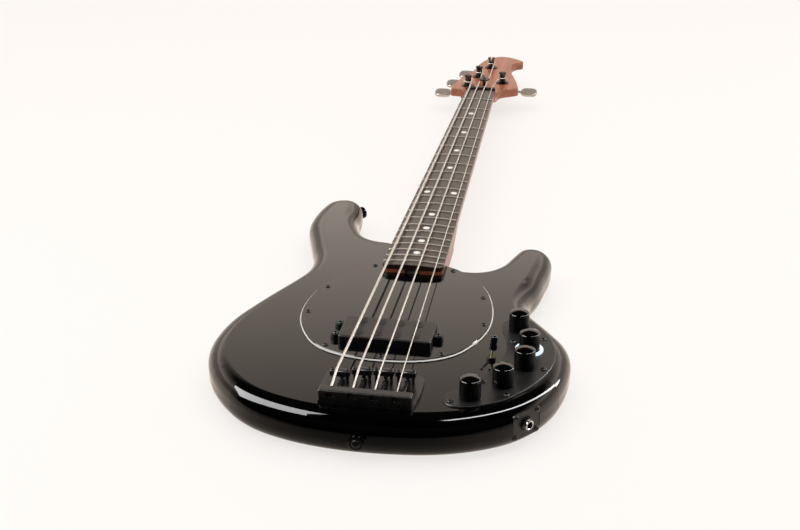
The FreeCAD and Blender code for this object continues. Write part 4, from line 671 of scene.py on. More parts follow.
@dataclass
class Bridge(SubAssembly):
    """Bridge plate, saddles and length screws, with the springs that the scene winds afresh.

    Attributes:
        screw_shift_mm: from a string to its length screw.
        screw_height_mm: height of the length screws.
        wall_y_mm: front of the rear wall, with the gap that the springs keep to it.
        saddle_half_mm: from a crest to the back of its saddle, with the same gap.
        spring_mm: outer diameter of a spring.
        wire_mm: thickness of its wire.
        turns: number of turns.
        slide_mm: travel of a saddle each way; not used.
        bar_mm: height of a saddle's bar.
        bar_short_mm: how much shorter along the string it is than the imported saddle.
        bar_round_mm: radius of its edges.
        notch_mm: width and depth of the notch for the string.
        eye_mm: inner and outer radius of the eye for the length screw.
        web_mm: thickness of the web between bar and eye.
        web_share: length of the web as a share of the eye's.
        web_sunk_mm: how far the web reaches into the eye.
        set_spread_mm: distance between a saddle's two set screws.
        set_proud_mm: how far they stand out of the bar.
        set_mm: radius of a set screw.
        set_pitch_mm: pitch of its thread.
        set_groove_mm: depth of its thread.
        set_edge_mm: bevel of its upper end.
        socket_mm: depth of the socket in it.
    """

    screw_shift_mm: float = 4.8
    screw_height_mm: float = 47.0
    wall_y_mm: float = -32.8
    saddle_half_mm: float = 4.2
    spring_mm: float = 5.0
    wire_mm: float = 0.6
    turns: int = 5
    slide_mm: float = 3.2
    bar_mm: float = 6.4
    bar_short_mm: float = 1.2
    bar_round_mm: float = 1.6
    notch_mm: tuple[float, float] = (3.8, 1.5)
    eye_mm: tuple[float, float] = (1.6, 2.55)
    web_mm: float = 3.4
    web_share: float = 0.7
    web_sunk_mm: float = 0.4
    set_spread_mm: float = 13.6
    set_proud_mm: float = 0.9
    set_mm: float = 1.5
    set_pitch_mm: float = 0.6
    set_groove_mm: float = 0.18
    set_edge_mm: float = 0.3
    socket_mm: float = 0.9

    def build(self) -> None:
        """Dress the bridge, make its saddles and wind its springs."""
        self.dress(SATIN_PLATING, "bridge_plate")
        for name, rank in STRING_RANKS.items():
            self.dress(SATIN_PLATING, f"length_screw_{name}")
            string = rank * SADDLE_SPREAD_MM
            self.saddle(name, string)
            x = string + self.screw_shift_mm
            wall = Vector((x, self.wall_y_mm, self.screw_height_mm)) * MM
            back = Vector((x, -CREST_BACK_MM[name] - self.saddle_half_mm, self.screw_height_mm)) * MM
            coil = wound_spring(wall, back, self.spring_mm, self.wire_mm, self.turns)
            label = f"length_spring_{name}"
            piece = self.piece(label, coil, [DARK_STEEL], self.root, ["springs"], Slot.SPRING)
            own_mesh(piece)

    def saddle(self, name: str, string: float) -> None:
        """Make one saddle: a notched bar on two set screws, with an eye for its length screw.

        Args:
            name: name of the string.
            string: place of the string across the bridge, in millimetres.
        """
        low, high = (Vector(corner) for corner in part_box(f"saddle_{name}"))
        middle = (low + high) / 2
        shape = bmesh.new()
        deep = self.bar_mm * MM
        top = high.z - self.set_proud_mm * MM
        centre = Vector((middle.x, middle.y, top - deep / 2))
        size = Matrix.Diagonal((high.x - low.x, high.y - low.y - self.bar_short_mm * MM, deep, 1))
        bmesh.ops.create_cube(shape, size=1, matrix=Matrix.Translation(centre) @ size)
        bend = self.bar_round_mm * MM
        bmesh.ops.bevel(shape, geom=shape.edges[:], offset=bend, segments=4, profile=0.5, affect="EDGES")
        half = self.notch_mm[0] / 2
        for place in (string - half, string, string + half):
            every = shape.verts[:] + shape.edges[:] + shape.faces[:]
            cut = {"plane_co": (place * MM, 0, 0), "plane_no": (1, 0, 0)}
            bmesh.ops.bisect_plane(shape, geom=every, dist=CUT_SLACK, **cut)
        upper = [vert for vert in shape.verts if vert.co.z > centre.z]
        notch = [vert for vert in upper if abs(vert.co.x - string * MM) < PLANE_SLACK]
        bmesh.ops.translate(shape, vec=(0, 0, -self.notch_mm[1] * MM), verts=notch)
        axis = Vector(((string + self.screw_shift_mm) * MM, low.y, self.screw_height_mm * MM))
        inner, outer = (radius * MM for radius in self.eye_mm)
        reach = high.y - low.y
        edge = 0.2 * MM
        eye = [(inner, 0), (outer - edge, 0), (outer, edge), (outer, reach), (inner, reach), (inner, 0)]
        made = self.spun(shape, eye, 24)
        bmesh.ops.transform(shape, matrix=frame_along(axis, Vector((0, 1, 0))), verts=made)
        foot = axis.z + outer - self.web_sunk_mm * MM
        web = Matrix.Diagonal((self.web_mm * MM, reach * self.web_share, centre.z - foot, 1))
        stand = Matrix.Translation((axis.x, middle.y, (centre.z + foot) / 2))
        bmesh.ops.create_cube(shape, size=1, matrix=stand @ web)
        for side in (-1, 1):
            x = middle.x + side * self.set_spread_mm / 2 * MM
            self.set_screw(shape, Vector((x, middle.y, low.z)), high.z)
        body = f"saddle_{name}"
        self.piece(f"bar_saddle_{name}", shape, [SATIN_PLATING, DARK_STEEL], body, [body])

    def set_screw(self, shape: Shape, foot: Vector, top: float) -> None:
        """Add one threaded set screw with a socket in its end.

        Args:
            shape: the mesh to add to.
            foot: where it stands.
            top: height of its upper end in metres.
        """
        radius, pitch, tall = self.set_mm * MM, self.set_pitch_mm * MM, top - foot.z
        edge = self.set_edge_mm * MM
        floor = tall - self.socket_mm * MM
        thread = []
        for turn in range(int(tall / pitch)):
            thread += [(radius - self.set_groove_mm * MM, turn * pitch), (radius, (turn + 0.5) * pitch)]
        socket = [(radius - edge, tall), (radius / 2, tall), (radius / 2, floor), (0, floor)]
        made = self.spun(shape, [(0, 0)] + thread + [(radius, tall - edge)] + socket, 20, 1)
        bmesh.ops.translate(shape, vec=foot, verts=made)


def wound_spring(start: Vector, end: Vector, size: float, wire: float, turns: int, sides: int = 8) -> Shape:
    """Wind a compression spring by spinning its wire with a steady climb.

    Args:
        start: foot of the spring in metres.
        end: head of the spring in metres.
        size: outer diameter in millimetres.
        wire: thickness of the wire in millimetres.
        turns: number of turns.
        sides: corners of the wire's section.

    Returns:
        The spring in the frame.
    """
    shape = bmesh.new()
    steps = turns * STEPS_A_TURN
    climb = (end - start).length - 2 * wire * MM
    place = Matrix.Translation(((size - wire) / 2 * MM, 0, wire * MM))
    upright = place @ Matrix.Rotation(math.pi / 2, 4, "X")
    bmesh.ops.create_circle(shape, segments=sides, radius=wire / 2 * MM, matrix=upright)
    bmesh.ops.spin(
        shape, geom=shape.verts[:] + shape.edges[:], cent=(0, 0, 0), axis=(0, 0, 1),
        dvec=(0, 0, climb / steps), angle=turns * FULL_TURN, steps=steps,
    )
    close_ends(shape, sides)
    bmesh.ops.transform(shape, matrix=frame_along(start, end - start), verts=shape.verts)
    return shape


@dataclass
class Pickup(SubAssembly):
    """Pickup with its coils, poles, height screws and lift springs.

    Attributes:
        ears_mm: place of each height screw.
        floor_mm: foot of the lift springs.
        skirt_mm: head of the lift springs.
        spring_mm: outer diameter of a lift spring.
        wire_mm: thickness of its wire.
        turns: number of turns.
        travel_mm: travel of the pickup each way; not used.
    """

    ears_mm: tuple[tuple[float, float], ...] = ((-49.0, 76.0), (-49.0, 98.0), (49.0, 87.0))
    floor_mm: float = 21.5
    skirt_mm: float = 33.1
    spring_mm: float = 5.4
    wire_mm: float = 0.6
    turns: int = 3
    travel_mm: float = 2.0

    def build(self) -> None:
        """Dress the pickup and wind its springs."""
        self.dress(MOULDED_CASE, "pickup_cover")
        self.dress(COIL_WIRE, "pickup_coils")
        self.dress(DARK_STEEL, "pickup_poles")
        for number, (x, y) in enumerate(self.ears_mm):
            foot = Vector((x, y, self.floor_mm)) * MM
            head = Vector((x, y, self.skirt_mm)) * MM
            coil = wound_spring(foot, head, self.spring_mm, self.wire_mm, self.turns)
            piece = self.piece(f"lift_spring_{number}", coil, [ZINC], self.root, ["springs"], Slot.SPRING)
            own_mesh(piece)


@dataclass
class CrossScrews(SubAssembly):
    """Screws with cross recesses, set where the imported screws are.

    Attributes:
        steps: corners round a head, a multiple of 8.
        slot_reach: half length of the recess as a share of the head's radius.
        slot_waist: how far the recess closes between its arms.
        slot_depth: depth of the recess as a share of the head's height.
        slot_taper: radius of the recess at its floor as a share of that at its mouth.
        slot_gap: part of each quarter turn that lies between two arms.
    """

    # Outline of a head as shares of its radius and its height.
    HEAD: ClassVar[Profile] = ((1, 0), (1, 0.3), (0.93, 0.55), (0.74, 0.85))
    steps: int = 32
    slot_reach: float = 0.5
    slot_waist: float = 0.36
    slot_depth: float = 0.95
    slot_taper: float = 0.8
    slot_gap: tuple[float, float] = (0.3, 0.7)

    def build(self) -> None:
        """Replace every packed screw by one with a recess."""
        self.set_of("cover_screws", "small_screws", self.root)
        self.set_of("neck_bolts", "neck_screws", self.root)
        self.set_of("height_screws", "pickup_screws", "pickup")

    def set_of(self, name: str, node: str, body: str) -> None:
        """Replace one node of screws.

        Args:
            name: name of the new piece.
            node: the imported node.
            body: the body that carries it.
        """
        shape = bmesh.new()
        for solid in self.islands(self.nodes[node]):
            self.one(shape, solid)
        self.piece(name, shape, [SATIN_PLATING], body, [node], sharp=40.0)

    def one(self, shape: Shape, solid: Sequence[Vector]) -> None:
        """Add one screw along the axis of a packed one.

        Args:
            shape: the mesh to add to.
            solid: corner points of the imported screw.
        """
        seat, way, radius, dome, shank, length = self.measure(solid)
        hole = radius * self.slot_reach
        depth = dome * (1 - self.slot_depth)
        stem = [(0, -length), (shank, -length), (shank, 0)]
        head = [(radius * wide, dome * tall) for wide, tall in self.HEAD]
        cross = [(hole, dome), (hole * self.slot_taper, depth), (0, depth)]
        made = self.spun(shape, stem + head + cross, self.steps)
        upper = [vert for vert in made if vert.co.z > depth - CUT_SLACK]
        recess = [vert for vert in upper if 0 < math.hypot(vert.co.x, vert.co.y) < hole * 1.01]
        arm = FULL_TURN / 4
        start, end = self.slot_gap
        between = [v for v in recess if start < (math.atan2(v.co.y, v.co.x) % arm) / arm < end]
        bmesh.ops.scale(shape, vec=(self.slot_waist, self.slot_waist, 1), verts=between)
        bmesh.ops.transform(shape, matrix=frame_along(seat, way), verts=made)

    @staticmethod
    def measure(solid: Sequence[Vector]) -> tuple[Vector, Vector, float, float, float, float]:
        """Find seat, outward way and sizes of a packed screw.

        Args:
            solid: its corner points.

        Returns:
            Seat of the head, way out of it, head radius, head height, shank radius and shank length.
        """
        points = np.array([tuple(point) for point in solid])
        centre = points.mean(axis=0)
        spread, axes = np.linalg.eigh(np.cov((points - centre).T))
        axis = axes[:, int(np.argmax(spread))]
        along = (points - centre) @ axis
        across = np.linalg.norm(points - centre - np.outer(along, axis), axis=1)
        if along[np.argmax(across)] < (along.min() + along.max()) / 2:
            axis, along = -axis, -along
        radius = float(across.max())
        seat = float(along[across > radius * 0.98].min())
        shank = float(across[along < along.min() + 0.1 * MM].max())
        place = Vector(centre + seat * axis)
        return place, Vector(axis), radius, float(along.max()) - seat, shank, seat - float(along.min())


@dataclass
class Controls(SubAssembly):
    """Knobs, lit ring, switch, output jack and the potentiometers below.

    Attributes:
        knob_mm: diameter of a knob at its foot.
        knob_taper_mm: how much a knob's radius shrinks to the top.
        knob_floor_mm: height of the knobs' lower edge.
        knob_top_mm: height of the knobs' crown.
        dome_mm: height of the crown above the shoulder.
        corner_mm: radius of the shoulder.
        recess_mm: diameter of the hollow below.
        recess_top_mm: height of the hollow's ceiling.
        shaft_mm: diameter of the potentiometer's shaft.
        bore_mm: depth of the bore for it above the hollow's ceiling.
        shaft_reach_mm: how far it reaches into the bore.
        core_mm: faces nearer to the axis than this belong to the shaft and its bore.
        upright: faces whose normal climbs less than this belong to a knob's side.
        grub_rise_mm: height of the grub screw above the knob's lower edge.
        grub_turn: heading of each knob's grub screw in degrees.
        lever_pivot_mm: centre of the switch's ball.
        lever_mm: length of the lever.
        lever_tip_mm: length of its black tip.
        lever_lean: lean of the lever to the treble side in degrees.
        slot_mm: width of the black sheet of painted shade in the switch's slot, and its length from the lever.
        slot_heading: heading of the slot from the lever in degrees.
        jack_mm: middle of the jack on the side wall.
        jack_heading: heading of the jack's way out in degrees.
        jack_face_mm: how far the face of its plate lies out of the wall.
    """

    knob_mm: float = 19.6
    knob_taper_mm: float = 0.1
    knob_floor_mm: float = 44.0
    knob_top_mm: float = 63.9
    dome_mm: float = 2.6
    corner_mm: float = 1.6
    recess_mm: float = 12.4
    recess_top_mm: float = 48.5
    shaft_mm: float = 6.0
    bore_mm: float = 8.0
    shaft_reach_mm: float = 7.8
    core_mm: float = 3.05
    upright: float = 0.05
    grub_rise_mm: float = 5.0
    grub_turn: dict[str, float] = field(default_factory=lambda: {
        "knob_volume": 70.0, "knob_treble": -128.0, "knob_middle": 80.0, "knob_bass": 60.0,
        "knob_blend": 100.0,
    })
    lever_pivot_mm: tuple[float, float, float] = (102.6, 62.1, 41.3)
    lever_mm: float = 25.3
    lever_tip_mm: float = 14.6
    lever_lean: float = 7.0
    slot_mm: tuple[float, float] = (2.6, 21.0)
    slot_heading: float = -108.0
    jack_mm: tuple[float, float, float] = (144.0, -16.15, 22.05)
    jack_heading: float = -41.3
    jack_face_mm: float = -1.4

    def build(self) -> None:
        """Make the knobs, lever and jack and dress the rest."""
        self.dress(RING_LIGHT, "light_ring")
        self.dress(BLACK_LACQUER, "toggle_switch")
        self.dress(ZINC, "potentiometers")
        for name in self.grub_turn:
            self.knob(name)
        self.lever()
        self.slot()
        self.jack()

    def knob(self, name: str) -> None:
        """Turn one knob with its grub screw and shaft.

        Args:
            name: name of the knob's node and body.
        """
        low, high = (Vector(corner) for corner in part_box(name))
        foot = self.knob_mm / 2
        waist = foot - self.knob_taper_mm
        floor, crown = self.knob_floor_mm, self.knob_top_mm
        shoulder = crown - self.dome_mm
        corner = self.corner_mm
        bend = math.pi / 2 - math.atan(2 * self.dome_mm / waist)
        start = shoulder - corner * math.tan(bend / 2)
        angles = [bend * share for share in (0, 0.2, 0.4, 0.6, 0.8, 1)]
        rim = [(waist - corner + corner * math.cos(a), start + corner * math.sin(a)) for a in angles]
        radii = [rim[-1][0] * share for share in (0.85, 0.68, 0.5, 0.32, 0.15)]
        dome = [(radius, crown - self.dome_mm * (radius / waist) ** 2) for radius in radii]
        grip = self.shaft_mm / 2 + 0.02
        ceiling = self.recess_top_mm
        bore = ceiling + self.bore_mm
        hollow = self.recess_mm / 2
        profile = [
            (0, bore), (grip, bore), (grip, ceiling), (hollow, ceiling), (hollow, floor), (foot - 0.3, floor),
            (foot - 0.09, floor + 0.09), (foot, floor + 0.3), (foot - 0.01, floor + 0.9),
            (waist + 0.01, start - 0.6),
        ] + rim + dome + [(0, crown)]
        shape = bmesh.new()
        self.spun(shape, in_metres(profile), 64)
        shaft = self.shaft_mm / 2 * MM
        top = (ceiling + self.shaft_reach_mm) * MM
        edge = 0.3 * MM
        self.spun(shape, [(0, low.z), (shaft, low.z), (shaft, top - edge), (shaft - edge, top), (0, top)], 24)
        shape.normal_update()
        for face in shape.faces:
            centre = face.calc_center_median()
            inside = math.hypot(*centre.xy) < self.core_mm * MM and centre.z < shoulder * MM
            face.material_index = 1 if inside else 2 if abs(face.normal.z) < self.upright else 0
        self.grub(shape, self.grub_turn[name], floor + self.grub_rise_mm)
        middle = (low + high) / 2
        bmesh.ops.translate(shape, vec=(middle.x, middle.y, 0), verts=shape.verts)
        self.piece(f"turned_{name}", shape, [POLISHED_PLATING, ZINC, SATIN_SIDE], name, [name], sharp=50.0)

    def grub(self, shape: Shape, turn: float, height: float) -> None:
        """Add the socket-headed grub screw in a knob's side.

        Args:
            shape: the knob about the Z axis.
            turn: heading of the screw in degrees.
            height: height of its axis in millimetres.
        """
        way = heading_of(turn)
        face = self.knob_mm / 2 - 0.12
        ring = [
            (0, -0.6), (0.7, -0.6), (0.75, -0.05), (1.0, 0.06), (1.4, 0.06), (1.5, -0.05), (1.5, -1.0),
            (0, -1.0),
        ]
        made = self.spun(shape, in_metres(ring), 18, 1)
        seat = way * face * MM + Vector((0, 0, height * MM))
        bmesh.ops.transform(shape, matrix=frame_along(seat, way), verts=made)

    def lever(self) -> None:
        """Turn the switch's brass lever and its black tip."""
        shape = bmesh.new()
        ball, stem, base = 2.5, 1.6, self.lever_mm - self.lever_tip_mm
        bend = [math.radians(angle) for angle in (-90, -65, -40, -15, 10, 35)]
        foot = [(ball * math.cos(a), ball * math.sin(a)) for a in bend]
        foot[0] = (0, -ball)
        neck = stem - 0.15
        brass = foot + [
            (stem, 2.2), (stem, 4.0), (neck, 4.2), (neck, 4.5), (stem, 4.7), (stem, base + 1), (0, base + 1),
        ]
        self.spun(shape, in_metres(brass), 24)
        end = self.lever_mm
        tip = [
            (0, base), (2.9, base), (3.5, base + 0.3), (3.8, base + 1.0), (3.8, base + 2.4),
            (3.5, base + 7.0), (3.1, end - 2.0), (2.9, end - 1.0), (2.4, end - 0.35), (1.4, end - 0.05),
            (0, end),
        ]
        self.spun(shape, in_metres(tip), 28, 1)
        pivot = Matrix.Translation(Vector(self.lever_pivot_mm) * MM)
        lean = Matrix.Rotation(math.radians(self.lever_lean), 4, "Y")
        bmesh.ops.transform(shape, matrix=pivot @ lean, verts=shape.verts)
        finishes = [PALE_BRASS, MOULDED_TIP]
        self.piece("switch_lever", shape, finishes, "toggle", ["toggle_lever"], Slot.LEVER, sharp=40.0)

    def slot(self) -> None:
        """Lay a dark sheet of painted shade in the switch's slot, with the screw at its end."""
        shape = bmesh.new()
        width, length = self.slot_mm
        rise, lip, sunk = 0.2 * MM, 0.3 * MM, 0.12 * MM
        bmesh.ops.create_circle(shape, cap_ends=True, segments=24, radius=width / 2 * MM)
        far = [vert for vert in shape.verts if vert.co.x > 0]
        bmesh.ops.translate(shape, vec=(length * MM, 0, 0), verts=far)
        top = bmesh.ops.extrude_face_region(shape, geom=shape.faces[:])["geom"]
        lid = [face for face in top if isinstance(face, bmesh.types.BMFace)]
        bmesh.ops.translate(shape, vec=(0, 0, rise), verts=lid[0].verts)
        bmesh.ops.inset_region(shape, faces=lid, thickness=lip, depth=-sunk)
        head = [(0, 0.3), (0.8, 0.3), (1.0, 0.85), (1.6, 0.75), (2.2, 0.45), (2.3, 0), (0, 0)]
        screw = self.spun(shape, in_metres(head), 24, 1)
        bmesh.ops.translate(shape, vec=(length * MM, 0, 0), verts=screw)
        pivot = Matrix.Translation(Vector(self.lever_pivot_mm) * MM)
        heading = Matrix.Rotation(math.radians(self.slot_heading), 4, "Z")
        bmesh.ops.transform(shape, matrix=pivot @ heading, verts=shape.verts)
        self.piece("switch_slot", shape, [SLOT_PAINTED_SHADE, SATIN_PLATING], self.root)

    def jack(self) -> None:
        """Turn the jack's bright sleeve, its dark hexagon nut and the washer below."""
        shape = bmesh.new()
        sleeve = [
            (0, -19.3), (3.2, -19.3), (3.2, 4.2), (3.5, 4.6), (4.2, 4.6), (4.55, 4.35), (4.7, 3.9),
            (4.7, -24.0), (0, -24.0),
        ]
        self.spun(shape, in_metres(sleeve), 40)
        bore = 3.25 * MM
        for face in shape.faces:
            face.material_index = 1 if math.hypot(*face.calc_center_median().xy) < bore else 0
        nut = [(4.9, 0.4), (6.5, 0.4), (7.0, 0.6), (7.0, 2.1), (6.4, 2.4), (4.9, 2.4), (4.9, 0.4)]
        self.spun(shape, in_metres(nut), 6, 2)
        washer = [(4.75, 0.0), (7.0, 0.0), (7.0, 0.35), (4.75, 0.35), (4.75, 0.0)]
        self.spun(shape, in_metres(washer), 36, 2)
        way = heading_of(self.jack_heading)
        seat = (Vector(self.jack_mm) + way * self.jack_face_mm) * MM
        bmesh.ops.transform(shape, matrix=frame_along(seat, way), verts=shape.verts)
        finishes = [CHROME, DARK_STEEL, SATIN_PLATING]
        self.piece("jack_socket", shape, finishes, self.root, ["output_jack"], Slot.JACK)


@dataclass
class StringSet(SubAssembly):
    """Four wound strings, each from its ball over saddle and nut to the turns on its post.

    Attributes:
        gauge_mm: diameter of each string.
        post_mm: place of each post.
        spread_nut_mm: distance between two strings at the nut.
        crest_mm: height of the middle of the saddles' crests.
        slot_mm: height of the middle of the nut's slots.
        crown_mm: radius that crests and slots follow.
        nut_y_mm: middle of the nut.
        ball_mm: Y and Z of the balls.
        tree_mm: Y and Z of the strings that the tree holds down.
        ease_mm: from a hold to the control points before and after it.
        meet_mm: from the winding to the control point before it.
        wind_mm: height where the winding starts.
        post_waist_mm: radius of a post's waist, with the string's gap to it.
        wind_gap_mm: gap between two turns.
        quarters: quarter turns on each post.
        sides: corners of a string's section.
    """

    UV_NAME: ClassVar[str] = "winding"
    gauge_mm: dict[str, float] = field(default_factory=lambda: {"e": 2.54, "a": 2.03, "d": 1.65, "g": 1.14})
    post_mm: dict[str, tuple[float, float]] = field(default_factory=lambda: {
        "e": (-24.8, 914.0), "a": (-13.6, 963.5), "d": (-0.4, 1015.2), "g": (25.2, 936.7),
    })
    spread_nut_mm: float = 32.6 / 3
    crest_mm: float = 57.6
    slot_mm: float = 55.1
    crown_mm: float = 280.0
    nut_y_mm: float = 866.1
    ball_mm: tuple[float, float] = (-39.9, 50.9)
    tree_mm: tuple[float, float] = (918.3, 50.0)
    ease_mm: float = 6.0
    meet_mm: float = 3.0
    wind_mm: float = 52.0
    post_waist_mm: float = 4.4
    wind_gap_mm: float = 0.55
    quarters: int = 6
    sides: int = 12

    def build(self) -> None:
        """Make the four strings."""
        for name, rank in STRING_RANKS.items():
            shape = bmesh.new()
            self.swept(shape, self.line(self.route(name, rank)), self.gauge_mm[name] / 2 * MM)
            self.ball(shape, Vector((rank * SADDLE_SPREAD_MM, *self.ball_mm)) * MM)
            finishes = [NICKEL_WRAP, BRASS]
            self.piece(f"wound_string_{name}", shape, finishes, self.root, [f"string_{name}"], Slot.STRING)

    def route(self, name: str, rank: float) -> list[Vector]:
        """Control points of a string's line, in millimetres.

        Args:
            name: name of the string.
            rank: its place across the neck, -1.5 to 1.5.

        Returns:
            The points from the ball to the string's end.
        """
        half = self.gauge_mm[name] / 2
        x = rank * SADDLE_SPREAD_MM
        ball = Vector((x, *self.ball_mm))
        crest = Vector((x, -CREST_BACK_MM[name], self.crest_mm - self.drop(x) + half))
        x = rank * self.spread_nut_mm
        slot = Vector((x, self.nut_y_mm, self.slot_mm - self.drop(x) + half))
        radius = self.post_waist_mm + half
        turn = -1 if name == "g" else 1
        post = Vector((*self.post_mm[name], self.wind_mm))
        holds = [ball, crest, slot]
        if name in "ad":
            y, z = self.tree_mm
            share = (y - slot.y) / (post.y - slot.y)
            holds.append(Vector((slot.x + (post.x + turn * radius - slot.x) * share, y, z)))
        last = holds[-1]
        reach = (post - last).xy.length
        aim = math.atan2(post.y - last.y, post.x - last.x) - turn * math.asin(radius / reach)
        run = math.sqrt(reach ** 2 - radius ** 2)
        holds.append(Vector((last.x + run * math.cos(aim), last.y + run * math.sin(aim), post.z)))
        points = [ball]
        for before, hold, after in zip(holds, holds[1:], holds[2:]):
            early = hold + (before - hold).normalized() * self.ease_mm
            points += [early, hold, hold + (after - hold).normalized() * self.ease_mm]
        touch = holds[-1]
        points.append(touch + (last - touch).normalized() * self.meet_mm)
        return points + self.winding(post, touch, turn, radius, self.gauge_mm[name])

    def winding(self, post: Vector, touch: Vector, turn: int, radius: float, gauge: float) -> list[Vector]:
        """Control points of the turns on a post.

        Args:
            post: axis of the post at the height where the winding starts.
            touch: where the string meets the winding.
            turn: 1 for anticlockwise seen from the top, -1 for clockwise.
            radius: radius of the string's centre line.
            gauge: diameter of the string.

        Returns:
            The points in order, with a short straight end.
        """
        start = math.atan2(touch.y - post.y, touch.x - post.x)
        step = math.pi / 6
        wide = radius / math.cos(step / 2)
        fall = (gauge + self.wind_gap_mm) / FULL_TURN
        count = self.quarters * 3
        points = []
        for number in range(count):
            angle = (number + 0.5) * step
            spoke = Vector((math.cos(start + turn * angle), math.sin(start + turn * angle), 0))
            points.append(post + spoke * wide - Vector((0, 0, fall * angle)))
        angle = count * step
        heading = start + turn * angle
        along = Vector((-math.sin(heading), math.cos(heading), 0)) * turn
        end = post + Vector((math.cos(heading), math.sin(heading), 0)) * radius - Vector((0, 0, fall * angle))
        return points + [end + along * gauge]

    def drop(self, x: float) -> float:
        """How far the crowned line lies below its middle at x, in millimetres."""
        return self.crown_mm - math.sqrt(self.crown_mm ** 2 - x ** 2)

    @staticmethod
    def line(points: Sequence[Vector]) -> list[Vector]:
        """Smooth line with the given control points.

        Args:
            points: control points in millimetres.

        Returns:
            Points along the line in metres.
        """
        curve = bpy.data.curves.new("string_line", "CURVE")
        curve.dimensions = "3D"
        curve.resolution_u = 6
        spline = curve.splines.new("NURBS")
        spline.points.add(len(points) - 1)
        for control, point in zip(spline.points, points):
            control.co = (*(point * MM), 1)
        spline.order_u = 3
        spline.use_endpoint_u = True
        holder = bpy.data.objects.new("string_line", curve)
        mesh = bpy.data.meshes.new_from_object(holder)
        found = [vert.co.copy() for vert in mesh.vertices]
        bpy.data.meshes.remove(mesh)
        bpy.data.objects.remove(holder)
        bpy.data.curves.remove(curve)
        return [found[0]] + [b for a, b in zip(found, found[1:]) if (b - a).length > SAME_POINT_MM * MM]

    def swept(self, shape: Shape, line: Sequence[Vector], radius: float) -> None:
        """Sweep a round section along a line and lay its UV map.

        Args:
            shape: the mesh to add to.
            line: points along the line.
            radius: radius of the section.
        """
        around = shape.verts.layers.float.new("around")
        along = shape.verts.layers.float.new("along")
        ways = [(b - a).normalized() for a, b in zip(line, line[1:])]
        ways = [ways[0]] + [(a + b).normalized() for a, b in zip(ways, ways[1:])] + [ways[-1]]
        turn = ways[0].to_track_quat("Z", "X")
        place = Matrix.Translation(line[0]) @ turn.to_matrix().to_4x4()
        circle = bmesh.ops.create_circle(shape, segments=self.sides, radius=radius, matrix=place)
        for number, vert in enumerate(circle["verts"]):
            vert[around] = number / self.sides
        edges = shape.edges[:]
        length = 0.0
        for (before, point), (old, new) in zip(zip(line, line[1:]), zip(ways, ways[1:])):
            length += (point - before).length
            grown = bmesh.ops.extrude_edge_only(shape, edges=edges)["geom"]
            ring = [item for item in grown if isinstance(item, bmesh.types.BMVert)]
            edges = [item for item in grown if isinstance(item, bmesh.types.BMEdge) and item.is_boundary]
            turn = old.rotation_difference(new) @ turn
            target = Matrix.Translation(point) @ turn.to_matrix().to_4x4()
            bmesh.ops.transform(shape, matrix=target @ place.inverted(), verts=ring)
            place = target
            for vert in ring:
                vert[along] = length
        close_ends(shape, self.sides)
        chart = shape.loops.layers.uv.new(self.UV_NAME)
        for face in shape.faces:
            shares = [loop.vert[around] for loop in face.loops]
            crosses = max(shares) - min(shares) > 0.5
            for loop, share in zip(face.loops, shares):
                loop[chart].uv = (share + 1 if crosses and share < 0.5 else share, loop.vert[along])

    def ball(self, shape: Shape, centre: Vector) -> None:
        """Turn the grooved brass ball at a string's end.

        Args:
            shape: the mesh to add to.
            centre: centre of the ball.
        """
        lower = [(0, -1.8), (1.9, -1.8), (2.2, -1.5), (2.2, -1.0), (1.7, -0.7)]
        upper = [(radius, -height) for radius, height in reversed(lower)]
        made = self.spun(shape, in_metres(lower + upper), 24, 1)
        bmesh.ops.transform(shape, matrix=frame_along(centre, Vector((1, 0, 0))), verts=made)


